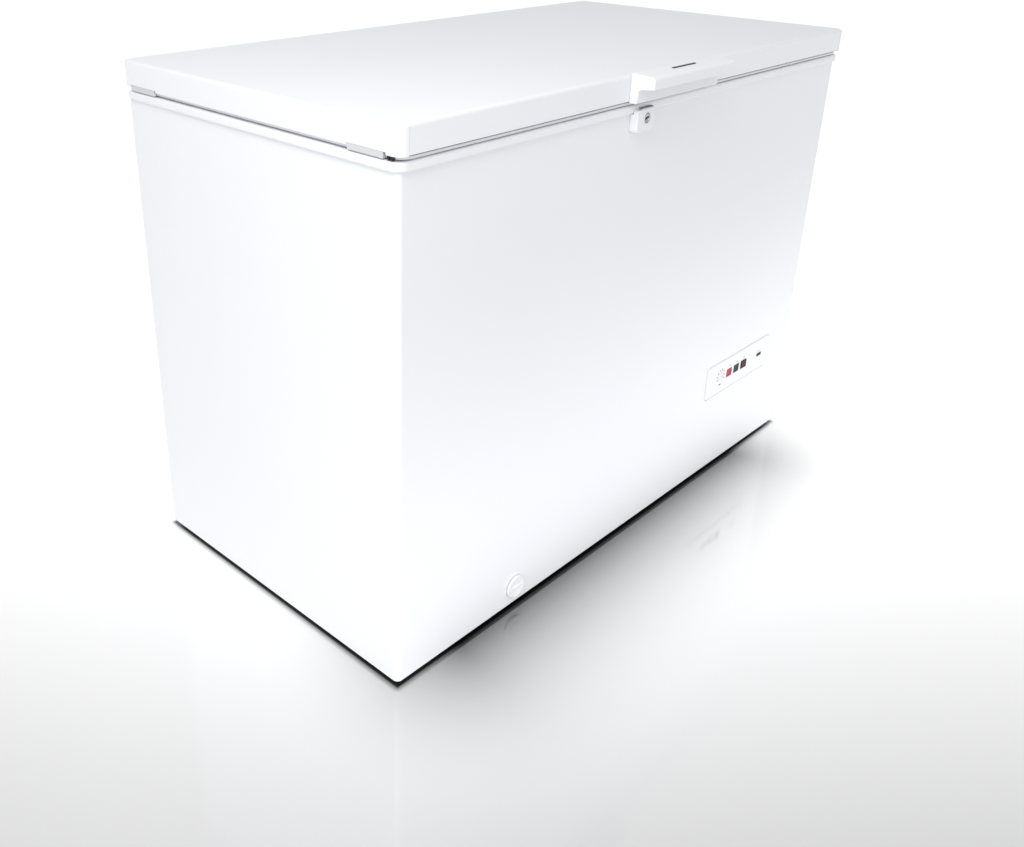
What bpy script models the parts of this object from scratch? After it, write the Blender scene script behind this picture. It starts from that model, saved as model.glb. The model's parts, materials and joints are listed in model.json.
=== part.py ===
"""Chest freezer, about 300 litres: cabinet, hinged lid, lock, controls, cold circuit and fittings.

Metres, +Z up. X runs along the front, the front faces -Y, and the feet stand on Z = 0.
The origin is under the centre of the whole object's plan box, handle to hinges.
Run with: blender --background --python part.py
"""

import math

import bmesh
import bpy
from mathutils import Euler, Vector

# ---------------------------------------------------------------- driving dimensions
WIDTH = 1.188
DEPTH = 0.612
CABINET_Y = 0.0125  # the handle reaches further out than the hinges do
GROUND_GAP = 0.010
WRAP_TOP = 0.8037
WRAP_RADIUS = 0.009
SHEET = 0.0012
WALL = 0.060
GAP = 0.0003

COLLAR_BOTTOM = 0.8040
COLLAR_TOP = 0.8175
COLLAR_PROUD = 0.0055  # at the front and the sides; the back is flush
COLLAR_RADIUS = 0.0185
LEDGE_DEPTH = 0.010
LEDGE_WIDTH = 0.014

LID_BOTTOM = 0.8245
LID_TOP = 0.8650
LID_HALF_WIDTH = 0.599
LID_FRONT_BOTTOM = 0.8265
LID_TRIM = 0.016
LID_FRONT_OVERHANG = 0.0085
LID_BACK_OVERHANG = 0.002
LID_RADIUS = 0.015
LID_TOP_EDGE = 0.005
LID_PAN_DEPTH = 0.010
LID_PAN_INSET = 0.075
PANEL_SHEET = 0.0015
LAMP_HALF = (0.055, 0.028)

GASKET_FRONT = 0.004
GASKET_BACK = 0.002
GASKET_SIDE = 0.001
GASKET_WIDTH = 0.016

INSERT_LENGTH = 0.065
INSERT_WIDTH = 0.005
INSERT_TOP = 0.8278
INSERT_BOTTOM = 0.8190
INSERT_FROM_FRONT = 0.022
INSERT_FROM_BACK = 0.020
NOTCH_LEAD = 0.0055

FLOOR_Z = 0.085
LINER_SHEET = 0.0015
PAN_DEPTH = 0.012
TUB_RADIUS = 0.018
STEP_X = 0.196
STEP_Z = 0.350
COMPARTMENT_X = 0.246
COMPARTMENT_TOP = 0.300

HINGE_X = 0.420
HINGE_HALF = 0.040
PIN_BEHIND = 0.017
PIN_Z = 0.806
PIN_RADIUS = 0.004
HOLE_RADIUS = 0.0045
EAR_RADIUS = 0.0085
LEAF_EAR_RADIUS = 0.0075
EAR = 0.003

HANDLE_LEFT = -0.124
HANDLE_RIGHT = 0.1055
HANDLE_REACH = 0.0505
HANDLE_TOP = 0.8685
HANDLE_BOTTOM = 0.8240
LEG_DEPTH = 0.014
HOOD_CORNER = 0.006
HOOD_FALL = 0.0022
HOOD_BOTTOM = 0.8455
LIP_BOTTOM = 0.8480

LOCK_X = -0.081
BARREL_X = -0.079
LOCK_Z = 0.796
HOUSING_HALF = (0.0235, 0.018)
HOUSING_Z = 0.793
HOUSING_PROUD = 0.014
BARREL_RADIUS = 0.0088
BOLT_X = -0.0965
BOLT_WIDTH = 0.009
BOLT_THICK = 0.003
BOLT_BOTTOM = 0.7803
BOLT_TOP = 0.8105
BOLT_TRAVEL = 0.018

PANEL_CENTRE = (0.380, 0.213)
PANEL_SIZE = (0.250, 0.070)
PANEL_PROUD = 0.003
DIAL_CENTRE = (0.307, 0.217)
DIAL_RADIUS = 0.0085
LENS_X = (0.3405, 0.3690, 0.3975)
LENS_Z = 0.214
LENS_HALF = (0.0101, 0.0087)

DRAIN_X = -0.320
DRAIN_Y = -0.180
DRAIN_OUT_Z = 0.042
DRAIN_RADIUS = 0.008
CAP_RADIUS = 0.021

COIL_LOW = 0.390
COIL_HIGH = 0.704
EVAPORATOR_RADIUS = 0.004
CONDENSER_RADIUS = 0.0025
COIL_TURNS = 4

COMPRESSOR_X = 0.430
COMPRESSOR_BASE = 0.040
COMPRESSOR_RADIUS = 0.080

BASKET_LEFT = 0.275
BASKET_RIGHT = 0.525
BASKET_BOTTOM = 0.600

# ---------------------------------------------------------------- derived places
FRONT = CABINET_Y - DEPTH / 2
BACK = CABINET_Y + DEPTH / 2
LID_FRONT = FRONT - LID_FRONT_OVERHANG
LID_BACK = BACK + LID_BACK_OVERHANG
LID_Y = (LID_FRONT + LID_BACK) / 2
LID_HALF_DEPTH = (LID_BACK - LID_FRONT) / 2
PIN_Y = BACK + PIN_BEHIND
IN_X = WIDTH / 2 - WALL
IN_Y = DEPTH / 2 - WALL
HANDLE_FRONT = FRONT - HANDLE_REACH
BOLT_Y = FRONT - 0.011  # between the collar and the front of the lock's housing
COMPRESSOR_Y = CABINET_Y + 0.120
INSERT_ENDS = {"front": FRONT + INSERT_FROM_FRONT, "back": BACK - INSERT_FROM_BACK - INSERT_LENGTH}

parts = bpy.data.collections.new("chest_freezer")
cutters = bpy.data.collections.new("cutters")


# ---------------------------------------------------------------- materials
def material(name, colour, roughness, metallic=0.0):
    """One Principled material for a part; colour is linear red, green and blue."""
    found = bpy.data.materials.get(name)
    if found:
        return found
    made = bpy.data.materials.new(name)
    made.use_nodes = True
    shader = made.node_tree.nodes["Principled BSDF"]
    shader.inputs["Base Color"].default_value = (*colour, 1.0)
    shader.inputs["Roughness"].default_value = roughness
    shader.inputs["Metallic"].default_value = metallic
    made.diffuse_color = (*colour, 1.0)
    return made


def white_steel():
    return material("white_powder_coat", (0.86, 0.87, 0.88), 0.35)


def white_plastic():
    return material("white_abs", (0.85, 0.85, 0.84), 0.38)


def liner_plastic():
    return material("white_liner", (0.80, 0.81, 0.81), 0.45)


def grey_plastic():
    return material("grey_abs", (0.45, 0.46, 0.47), 0.50)


def black_plastic():
    return material("black_abs", (0.02, 0.02, 0.022), 0.45)


def grey_rubber():
    return material("grey_gasket_rubber", (0.55, 0.56, 0.57), 0.70)


def black_rubber():
    return material("black_rubber", (0.03, 0.03, 0.03), 0.80)


def zinc_steel():
    return material("zinc_plated_steel", (0.56, 0.57, 0.57), 0.35, 1.0)


def black_steel():
    return material("black_enamel_steel", (0.025, 0.025, 0.028), 0.35)


def copper():
    return material("copper_tube", (0.75, 0.35, 0.22), 0.35, 1.0)


def foam():
    return material("polyurethane_foam", (0.75, 0.60, 0.32), 0.90)


def red_lens():
    return material("red_lens", (0.55, 0.03, 0.03), 0.25)


def green_lens():
    return material("green_lens", (0.02, 0.16, 0.06), 0.25)


def amber_lens():
    return material("amber_lens", (0.20, 0.06, 0.02), 0.25)


def clear_lens():
    return material("frosted_lens", (0.80, 0.82, 0.84), 0.20)


# ---------------------------------------------------------------- modelling helpers
def place(name, data, finish, location=(0, 0, 0), rotation=(0, 0, 0), into=None):
    """Link a new object made from data, at its place, into the parts or the cutters."""
    made = bpy.data.objects.new(name, data)
    made.location = location
    made.rotation_euler = rotation
    group = into or parts
    group.objects.link(made)
    if group is cutters:
        made.hide_render = True
        made.display_type = "WIRE"
    elif finish:
        data.materials.append(finish)
    return made


def box_mesh(name, low, high):
    """A box mesh centred on its own origin; returns it with the place of its centre."""
    centre = (Vector(low) + Vector(high)) / 2
    shape = bmesh.new()
    bmesh.ops.create_cube(shape, size=1.0)
    bmesh.ops.scale(shape, vec=Vector(high) - Vector(low), verts=shape.verts)
    mesh = bpy.data.meshes.new(name)
    shape.to_mesh(mesh)
    shape.free()
    return mesh, centre


def box(name, low, high, finish, bevel=0.0, segments=2, into=None):
    mesh, centre = box_mesh(name, low, high)
    made = place(name, mesh, finish, centre, into=into)
    if bevel:
        round_edges(made, bevel, segments)
    return made


def cutter_box(name, low, high):
    return box(name, low, high, None, into=cutters)


def round_edges(made, width, segments=2, angle=30):
    bevel = made.modifiers.new("Rounded edges", "BEVEL")
    bevel.width = width
    bevel.segments = segments
    bevel.limit_method = "ANGLE"
    bevel.angle_limit = math.radians(angle)
    return bevel


def thicken(made, thickness, offset=-1.0):
    """Give an open surface its wall; offset -1 puts the wall on the inner side."""
    wall = made.modifiers.new("Wall", "SOLIDIFY")
    wall.thickness = thickness
    wall.offset = offset
    wall.use_even_offset = True
    return wall


def boolean(made, other, operation):
    step = made.modifiers.new(f"{operation.title()} {other.name}", "BOOLEAN")
    step.operation = operation
    step.object = other
    step.solver = "EXACT"
    return step


def cut(made, *others):
    for other in others:
        boolean(made, other, "DIFFERENCE")


def join(made, *others):
    for other in others:
        boolean(made, other, "UNION")


def smooth(made, angle=35):
    made.data.shade_smooth()
    made.data.set_sharp_from_angle(angle=math.radians(angle))
    return made


def rounded_rectangle(half_x, half_y, radius, steps=4, centre=(0, 0)):
    """Outline points of a rectangle with round corners, anticlockwise."""
    points = []
    for turn, (sx, sy) in enumerate(((1, 1), (-1, 1), (-1, -1), (1, -1))):
        for step in range(steps + 1):
            angle = math.radians(90 * turn + 90 * step / steps)
            x = sx * (half_x - radius) + radius * math.cos(angle)
            y = sy * (half_y - radius) + radius * math.sin(angle)
            points.append((centre[0] + x, centre[1] + y))
    return points


def arc(centre, radius, start, end, steps):
    """Points on an arc from the angle start to the angle end, in degrees."""
    points = []
    for step in range(steps + 1):
        angle = math.radians(start + (end - start) * step / steps)
        points.append((centre[0] + radius * math.cos(angle), centre[1] + radius * math.sin(angle)))
    return points


def outline(name, loops, thickness, finish, location, rotation=(0, 0, 0), into=None):
    """A flat outline, with any holes as further loops, extruded half to each side of its plane."""
    curve = bpy.data.curves.new(name, "CURVE")
    curve.dimensions = "2D"
    curve.fill_mode = "BOTH"
    curve.extrude = thickness / 2
    for points in loops:
        spline = curve.splines.new("POLY")
        spline.points.add(len(points) - 1)
        for point, (x, y) in zip(spline.points, points):
            point.co = (x, y, 0.0, 1.0)
        spline.use_cyclic_u = True
    drawn = bpy.data.objects.new(name, curve)
    parts.objects.link(drawn)
    made = place(name, solid_from(drawn), finish, location, rotation, into)
    return made


def solid_from(drawn):
    """The welded mesh of a curve object, which is then removed."""
    bpy.context.view_layer.update()
    graph = bpy.context.evaluated_depsgraph_get()
    mesh = bpy.data.meshes.new_from_object(drawn.evaluated_get(graph))
    shape = bmesh.new()
    shape.from_mesh(mesh)
    bmesh.ops.remove_doubles(shape, verts=shape.verts, dist=1e-5)
    bmesh.ops.recalc_face_normals(shape, faces=shape.faces)
    shape.to_mesh(mesh)
    shape.free()
    curve = drawn.data
    name = drawn.name
    bpy.data.objects.remove(drawn)
    bpy.data.curves.remove(curve)
    mesh.name = name
    return mesh


def tube(name, points, radius, finish, sides=2, into=None, caps=True):
    """A round tube or wire along points, in world coordinates."""
    curve = bpy.data.curves.new(name, "CURVE")
    curve.dimensions = "3D"
    curve.bevel_depth = radius
    curve.bevel_resolution = sides
    curve.use_fill_caps = caps
    spline = curve.splines.new("POLY")
    spline.points.add(len(points) - 1)
    for point, place_at in zip(spline.points, points):
        point.co = (*place_at, 1.0)
    drawn = bpy.data.objects.new(name, curve)
    parts.objects.link(drawn)
    made = place(name, solid_from(drawn), finish, into=into)
    return smooth(made) if into is None else made


def cylinder(name, centre, radius, length, finish, axis="Z", sides=32, into=None):
    """A solid cylinder about centre, along one of the axes."""
    shape = bmesh.new()
    bmesh.ops.create_cone(
        shape, cap_ends=True, segments=sides, radius1=radius, radius2=radius, depth=length
    )
    mesh = bpy.data.meshes.new(name)
    shape.to_mesh(mesh)
    shape.free()
    turn = {"Z": (0, 0, 0), "Y": (math.pi / 2, 0, 0), "X": (0, math.pi / 2, 0)}[axis]
    made = place(name, mesh, finish, centre, turn, into)
    return smooth(made) if into is None else made


def turned(name, profile, centre, finish, rotation=(0, 0, 0), steps=32, into=None):
    """A turned shape: a profile of (radius, height) points, top to bottom, about its own Z axis."""
    mesh = bpy.data.meshes.new(name)
    shape = bmesh.new()
    corners = [shape.verts.new((radius, 0.0, height)) for radius, height in profile]
    for first, second in zip(corners, corners[1:]):
        shape.edges.new((first, second))
    shape.to_mesh(mesh)
    shape.free()
    made = place(name, mesh, finish, centre, rotation, into)
    screw = made.modifiers.new("Turned", "SCREW")
    screw.steps = steps
    screw.render_steps = steps
    screw.use_merge_vertices = True
    screw.merge_threshold = 0.00001
    return made


FACING_FRONT = (math.pi / 2, 0, 0)  # own Z points out of the front, own Y points up
SIDE_ON = (math.pi / 2, 0, math.pi / 2)  # own X points to the back, own Y up, own Z along the front


# ---------------------------------------------------------------- cabinet
def cabinet_wrap():
    """Front and both sides in one bent sheet, with return flanges at the back."""
    flange = 0.010
    corner = WRAP_RADIUS
    outer = rounded_rectangle(WIDTH / 2, DEPTH / 2, corner)
    inner = rounded_rectangle(WIDTH / 2 - SHEET, DEPTH / 2 - SHEET, corner - SHEET)
    height = WRAP_TOP - GROUND_GAP
    middle = (GROUND_GAP + WRAP_TOP) / 2
    made = outline(
        "cabinet_wrap", [outer, inner], height, white_steel(), (0, CABINET_Y, middle)
    )
    half = WIDTH / 2 - flange
    back_slot = cutter_box("wrap_back_opening", (-half, BACK - 0.004, 0), (half, BACK + 0.01, 1))
    cut(made, back_slot, *wrap_openings())
    return smooth(made)


def wrap_openings():
    """Holes for the control box, the drain outlet and the side grille."""
    x, z = PANEL_CENTRE
    panel = cutter_box(
        "panel_opening",
        (x - 0.118, FRONT - 0.01, z - 0.028),
        (x + 0.118, FRONT + 0.01, z + 0.028),
    )
    drain = cylinder(
        "drain_opening", (DRAIN_X, FRONT, DRAIN_OUT_Z), 0.0095, 0.02, None, "Y", 24, cutters
    )
    grille = cutter_box(
        "grille_opening",
        (WIDTH / 2 - 0.01, CABINET_Y - 0.145, 0.065),
        (WIDTH / 2 + 0.01, CABINET_Y + 0.145, 0.215),
    )
    return panel, drain, grille


def back_panel():
    """Flat rear sheet between the wrap's flanges, open behind the compressor."""
    half = WIDTH / 2 - SHEET - GAP - 0.008
    made = box(
        "back_panel",
        (-half, BACK - SHEET - GAP - SHEET, GROUND_GAP + 0.002),
        (half, BACK - SHEET - GAP, WRAP_TOP),
        white_steel(),
    )
    opening = cutter_box("rear_opening", (0.265, BACK - 0.02, 0.030), (0.575, BACK + 0.02, 0.275))
    cut(made, opening)
    return made


def base_pan():
    """Steel tray closing the bottom, with a window for the compressor's own tray."""
    inset = 0.005  # clears the wrap's round corners
    shape_low = (-WIDTH / 2 + inset, FRONT + inset, GROUND_GAP + GAP)
    shape_high = (WIDTH / 2 - inset, BACK - inset, GROUND_GAP + PAN_DEPTH)
    mesh, centre = box_mesh("base_pan", shape_low, shape_high)
    shape = bmesh.new()
    shape.from_mesh(mesh)
    top = [face for face in shape.faces if face.normal.z > 0.5]
    bmesh.ops.delete(shape, geom=top, context="FACES_ONLY")
    shape.to_mesh(mesh)
    shape.free()
    made = place("base_pan", mesh, zinc_steel(), centre)
    thicken(made, SHEET)
    window = cutter_box(
        "tray_window",
        (COMPARTMENT_X + 0.034, CABINET_Y - 0.20, 0),
        (WIDTH / 2 - 0.034, CABINET_Y + 0.20, 0.03),
    )
    cut(made, window)
    return made


def feet():
    """Four low moulded pads under the base pan."""
    for side, x in (("left", -0.535), ("right", 0.535)):
        for end, y in (("front", FRONT + 0.050), ("back", BACK - 0.050)):
            profile = [(0.0, GROUND_GAP), (0.021, GROUND_GAP), (0.024, 0.0015)]
            profile += [(0.022, 0.0), (0.0, 0.0)]
            smooth(turned(f"foot_{end}_{side}", profile, (x, y, 0), black_plastic(), steps=24))


def tub_mesh(name, clear, top, lidded):
    """The tub's inside with its raised floor, grown by clear; open at the top unless lidded."""
    half_x = IN_X + clear
    half_y = IN_Y + clear
    profile = [
        (-half_x, FLOOR_Z - clear),
        (STEP_X + clear, FLOOR_Z - clear),
        (STEP_X + clear, STEP_Z - clear),
        (half_x, STEP_Z - clear),
        (half_x, top),
        (-half_x, top),
    ]
    shape = bmesh.new()
    near = [shape.verts.new((x, -half_y, z)) for x, z in profile]
    far = [shape.verts.new((x, half_y, z)) for x, z in profile]
    shape.faces.new(near)
    shape.faces.new(list(reversed(far)))
    count = len(profile)
    top_edge = count - 2
    for index in range(count):
        if index != top_edge or lidded:
            following = (index + 1) % count
            shape.faces.new((near[following], near[index], far[index], far[following]))
    mesh = bpy.data.meshes.new(name)
    shape.to_mesh(mesh)
    shape.free()
    return mesh


def inner_liner():
    """One-piece tub with a raised floor over the compressor and a turned-out top flange."""
    mesh = tub_mesh("inner_liner", 0.0, WRAP_TOP - 0.003, False)
    made = place("inner_liner", mesh, liner_plastic(), (0, CABINET_Y, 0))
    round_edges(made, TUB_RADIUS, 3)
    thicken(made, LINER_SHEET, 1.0)
    thickness = 0.0024
    flange = outline(
        "liner_flange",
        [
            rounded_rectangle(IN_X + 0.022, IN_Y + 0.022, 0.030),
            rounded_rectangle(IN_X + 0.0002, IN_Y + 0.0002, TUB_RADIUS, 3),
        ],
        thickness,
        None,
        (0, CABINET_Y, WRAP_TOP - thickness),
        into=cutters,
    )
    join(made, flange)
    cut(made, drain_hole())
    return smooth(made)


def drain_hole():
    return cylinder(
        "floor_drain_hole",
        (DRAIN_X, CABINET_Y + DRAIN_Y, FLOOR_Z),
        DRAIN_RADIUS + 0.0008,
        0.02,
        None,
        "Z",
        24,
        cutters,
    )


def insulation_foam():
    """Foamed block between skin and liner, with room for the two coils and the drain."""
    made = box(
        "insulation_foam",
        (-WIDTH / 2 + 0.004, FRONT + 0.004, GROUND_GAP + PAN_DEPTH + GAP),
        (WIDTH / 2 - 0.004, BACK - 0.0045, WRAP_TOP - 0.0045),
        foam(),
    )
    tub = place(
        "tub_room",
        tub_mesh("tub_room", LINER_SHEET + GAP, 1.0, True),
        None,
        (0, CABINET_Y, 0),
        into=cutters,
    )
    round_edges(tub, TUB_RADIUS, 3)
    room = cutter_box(
        "compressor_room",
        (COMPARTMENT_X, FRONT - 1, -1),
        (1, BACK + 1, COMPARTMENT_TOP),
    )
    inner = cutter_box(
        "inner_coil_room",
        (-IN_X - 0.011, CABINET_Y - IN_Y - 0.011, COIL_LOW),
        (IN_X + 0.011, CABINET_Y + IN_Y + 0.011, COIL_HIGH),
    )
    depth = 0.013
    outer = outline(
        "outer_coil_room",
        [
            rounded_rectangle(WIDTH, DEPTH, 0.01),
            rounded_rectangle(WIDTH / 2 - depth, DEPTH / 2 - depth, 0.024),
        ],
        COIL_HIGH - COIL_LOW,
        None,
        (0, CABINET_Y, (COIL_HIGH + COIL_LOW) / 2),
        into=cutters,
    )
    drain = tube("drain_room", drain_route(0.03), 0.0115, None, 3, cutters)
    cut(made, tub, room, inner, outer, drain)
    return made


def drain_route(overrun=0.0):
    """Down from the liner's floor and out through the front."""
    top = FLOOR_Z - LINER_SHEET - 0.0005 + overrun
    y = CABINET_Y + DRAIN_Y
    bend = 0.018
    corner = (y - bend, DRAIN_OUT_Z + bend)
    turn = [
        (DRAIN_X, corner[0] + bend * math.cos(a), corner[1] + bend * math.sin(a))
        for a in (math.radians(-90 * step / 4) for step in range(5))
    ]
    start = [(DRAIN_X, y, top)]
    end = [(DRAIN_X, FRONT + 0.0002 - overrun, DRAIN_OUT_Z)]
    return start + turn + end


def drain_tube():
    """Hollow drain pipe with a plain wall."""
    made = tube("drain_tube", drain_route(), DRAIN_RADIUS, grey_plastic(), 3, caps=False)
    thicken(made, 0.0015)
    return made


def top_collar():
    """Moulded frame over the walls, with a rebate that the basket hangs in."""
    half_x = WIDTH / 2 + COLLAR_PROUD
    half_y = (DEPTH + COLLAR_PROUD) / 2
    inside = rounded_rectangle(IN_X - 0.002, IN_Y - 0.002, 0.018, 4, (0, COLLAR_PROUD / 2))
    made = outline(
        "top_collar",
        [rounded_rectangle(half_x, half_y, COLLAR_RADIUS, 5), inside],
        COLLAR_TOP - COLLAR_BOTTOM,
        white_plastic(),
        (0, CABINET_Y - COLLAR_PROUD / 2, (COLLAR_TOP + COLLAR_BOTTOM) / 2),
    )
    rebate = outline(
        "basket_rebate",
        [rounded_rectangle(IN_X + LEDGE_WIDTH, IN_Y + LEDGE_WIDTH, 0.020, 4)],
        LEDGE_DEPTH * 2,
        None,
        (0, CABINET_Y, COLLAR_TOP),
        into=cutters,
    )
    cut(made, rebate)
    return smooth(made)


# ---------------------------------------------------------------- cold circuit
def wall_coil(name, half_x, half_y, corner, radius):
    """Tube wound round the tub in turns that climb evenly."""
    ring = rounded_rectangle(half_x, half_y, corner, 3)
    low = COIL_LOW + 0.025
    high = COIL_HIGH - 0.025
    points = []
    for turn in range(COIL_TURNS):
        for index, (x, y) in enumerate(ring):
            share = (turn + index / len(ring)) / COIL_TURNS
            points.append((x, CABINET_Y + y, low + (high - low) * share))
    return tube(name, points, radius, copper())


def evaporator_coil():
    """Cold coil against the outside of the liner."""
    clear = LINER_SHEET + EVAPORATOR_RADIUS + 0.0007
    return wall_coil("evaporator_coil", IN_X + clear, IN_Y + clear, 0.022, EVAPORATOR_RADIUS)


def condenser_coil():
    """Warm coil behind the outer skin."""
    clear = 0.0075
    return wall_coil(
        "condenser_coil", WIDTH / 2 - clear, DEPTH / 2 - clear, 0.030, CONDENSER_RADIUS
    )


def compressor():
    """Hermetic pot on a pressed foot plate, with its welded seam."""
    radius = COMPRESSOR_RADIUS
    profile = [
        (0.0, 0.165),
        (0.035, 0.162),
        (0.060, 0.150),
        (0.074, 0.130),
        (radius, 0.105),
        (radius, 0.092),
        (radius + 0.004, 0.092),
        (radius + 0.004, 0.084),
        (radius, 0.084),
        (radius - 0.002, 0.050),
        (radius - 0.014, 0.022),
        (0.045, 0.006),
        (0.0, 0.004),
    ]
    centre = (COMPRESSOR_X, COMPRESSOR_Y, COMPRESSOR_BASE)
    made = turned("compressor", profile, centre, black_steel(), steps=28)
    plate = box(
        "compressor_foot",
        (COMPRESSOR_X - 0.095, COMPRESSOR_Y - 0.065, COMPRESSOR_BASE),
        (COMPRESSOR_X + 0.095, COMPRESSOR_Y + 0.065, COMPRESSOR_BASE + 0.006),
        None,
        into=cutters,
    )
    join(made, plate)
    return smooth(made)


def compressor_tray():
    """Steel plate across the window in the base pan."""
    made = box(
        "compressor_tray",
        (COMPARTMENT_X + 0.014, CABINET_Y - 0.215, GROUND_GAP + 0.0018),
        (WIDTH / 2 - 0.014, CABINET_Y + 0.215, GROUND_GAP + 0.0038),
        zinc_steel(),
    )
    return made


def compressor_mounts():
    """Rubber bushes between the compressor's foot plate and the tray."""
    low = GROUND_GAP + 0.0041
    high = COMPRESSOR_BASE - GAP
    for side, x in (("left", -0.080), ("right", 0.080)):
        for end, y in (("front", -0.050), ("back", 0.050)):
            profile = [(0.0, high), (0.009, high), (0.011, high - 0.006), (0.008, high - 0.012)]
            profile += [(0.012, low + 0.004), (0.012, low), (0.0, low)]
            centre = (COMPRESSOR_X + x, COMPRESSOR_Y + y, 0)
            name = f"compressor_mount_{end}_{side}"
            smooth(turned(name, profile, centre, black_rubber(), steps=20))


def start_relay():
    """Electrical box clipped to the side of the compressor."""
    x = COMPRESSOR_X - COMPRESSOR_RADIUS - 0.006
    made = box(
        "start_relay",
        (x - 0.034, COMPRESSOR_Y - 0.026, COMPRESSOR_BASE + 0.042),
        (x, COMPRESSOR_Y + 0.026, COMPRESSOR_BASE + 0.108),
        black_plastic(),
        0.004,
    )
    return smooth(made)


def filter_drier():
    """Copper drier, standing beside the compressor."""
    r = 0.009
    profile = [(0.0, 0.060), (0.003, 0.060), (0.003, 0.052), (r, 0.042), (r, -0.042)]
    profile += [(0.003, -0.052), (0.003, -0.060), (0.0, -0.060)]
    centre = (0.560, CABINET_Y + 0.235, 0.190)
    return smooth(turned("filter_drier", profile, centre, copper(), steps=20))


def refrigerant_tubes():
    """Suction and discharge lines from the pot up to the foam over it."""
    x, y = COMPRESSOR_X, COMPRESSOR_Y
    z = COMPRESSOR_BASE + 0.110
    top = COMPARTMENT_TOP - 0.001
    out = 0.0845
    for name, sign, radius in (("suction_tube", -1, 0.004), ("discharge_tube", 1, 0.003)):
        bend = 0.020
        start_y = y + sign * out
        centre_y = start_y + sign * 0.010
        turn = [
            (x + 0.02 * sign, centre_y + sign * bend * math.sin(a), z + bend - bend * math.cos(a))
            for a in (math.radians(90 * step / 4) for step in range(5))
        ]
        points = [(x + 0.02 * sign, start_y, z)] + turn
        points.append((x + 0.02 * sign, centre_y + sign * bend, top))
        tube(name, points, radius, copper())


# ---------------------------------------------------------------- compartment fittings
def slotted_plate(name, low, high, finish, rows, columns, along):
    """A flat vent plate with rows of slots; along is the axis, 0 or 1, that the slots run along."""
    made = box(name, low, high, finish)
    low = Vector(low)
    high = Vector(high)
    size = high - low
    pitch = size.z / (rows + 1)
    width = size[along] / columns
    for row in range(rows):
        for column in range(columns):
            a = low.copy()
            b = high.copy()
            a[along] = low[along] + width * column + 0.010
            b[along] = low[along] + width * (column + 1) - 0.010
            a.z = low.z + pitch * (row + 0.85)
            b.z = a.z + pitch * 0.45
            across = 1 - along
            a[across] -= 0.01
            b[across] += 0.01
            cut(made, cutter_box(f"{name}_slot_{row}_{column}", a, b))
    return made


def vent_grille():
    """Moulded grille in the right side, over the compressor's room."""
    x = WIDTH / 2 - SHEET
    return slotted_plate(
        "vent_grille",
        (x - 0.002, CABINET_Y - 0.1445, 0.0655),
        (x + 0.0024, CABINET_Y + 0.1445, 0.2145),
        white_plastic(),
        8,
        2,
        1,
    )


def rear_cover():
    """Louvred sheet over the compressor's room at the back."""
    y = BACK - SHEET
    return slotted_plate(
        "rear_cover",
        (0.2655, y - 0.0022, 0.0305),
        (0.5745, y + 0.0008, 0.2745),
        zinc_steel(),
        9,
        2,
        0,
    )


def mains_inlet_gland():
    """Moulded bush where the supply lead would enter, on the rear cover."""
    y = BACK - SHEET + 0.0008 + GAP
    profile = [(0.0035, 0.012), (0.007, 0.012), (0.009, 0.003), (0.012, 0.003), (0.012, 0.0)]
    profile += [(0.0035, 0.0), (0.0035, 0.012)]
    back = (-math.pi / 2, 0, 0)
    centre = (0.288, y, 0.0455)
    return smooth(turned("mains_inlet_gland", profile, centre, black_plastic(), back, 24))


# ---------------------------------------------------------------- control panel
def lens_hole(index, depth=0.05):
    """Opening through the bezel, a gap larger than its lens all round."""
    x = LENS_X[index]
    half_x, half_z = (half + GAP for half in LENS_HALF)
    low = (x - half_x, FRONT - depth, LENS_Z - half_z)
    high = (x + half_x, FRONT + depth, LENS_Z + half_z)
    return cutter_box(f"lens_hole_{index}", low, high)


def control_panel():
    """Thin moulded bezel on the front, standing in the wrap's opening."""
    x, z = PANEL_CENTRE
    half_x, half_z = PANEL_SIZE[0] / 2, PANEL_SIZE[1] / 2
    made = outline(
        "control_panel",
        [rounded_rectangle(half_x, half_z, 0.006, 3)],
        PANEL_PROUD - GAP,
        white_plastic(),
        (x, FRONT - (PANEL_PROUD + GAP) / 2, z),
        FACING_FRONT,
    )
    for index in range(len(LENS_X)):
        cut(made, lens_hole(index))
    dial = (DIAL_CENTRE[0], FRONT, DIAL_CENTRE[1])
    cut(made, cylinder("dial_hole", dial, DIAL_RADIUS + GAP, 0.1, None, "Y", 32, cutters))
    return smooth(made)


def control_box():
    """Tray behind the bezel that carries the lamps, the switch and the thermostat."""
    x, z = PANEL_CENTRE
    low = (x - 0.116, FRONT + 0.0002, z - 0.026)
    high = (x + 0.116, FRONT + 0.046, z + 0.026)
    made = box("control_box", low, high, grey_plastic())
    hollow = cutter_box(
        "control_box_hollow",
        (low[0] + 0.002, FRONT - 0.01, low[2] + 0.002),
        (high[0] - 0.002, high[1] - 0.002, high[2] - 0.002),
    )
    cut(made, hollow)
    return made


def thermostat_body():
    """Metal-cased thermostat behind the dial, with a socket for its shaft."""
    x, z = DIAL_CENTRE
    low = (x - 0.017, FRONT + 0.014, z - 0.018)
    high = (x + 0.014, FRONT + 0.040, z + 0.018)
    made = box("thermostat_body", low, high, zinc_steel(), 0.0015)
    socket = cylinder("shaft_socket", (x, FRONT + 0.014, z), 0.0034, 0.016, None, "Y", 20, cutters)
    cut(made, socket)
    return smooth(made)


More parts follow.
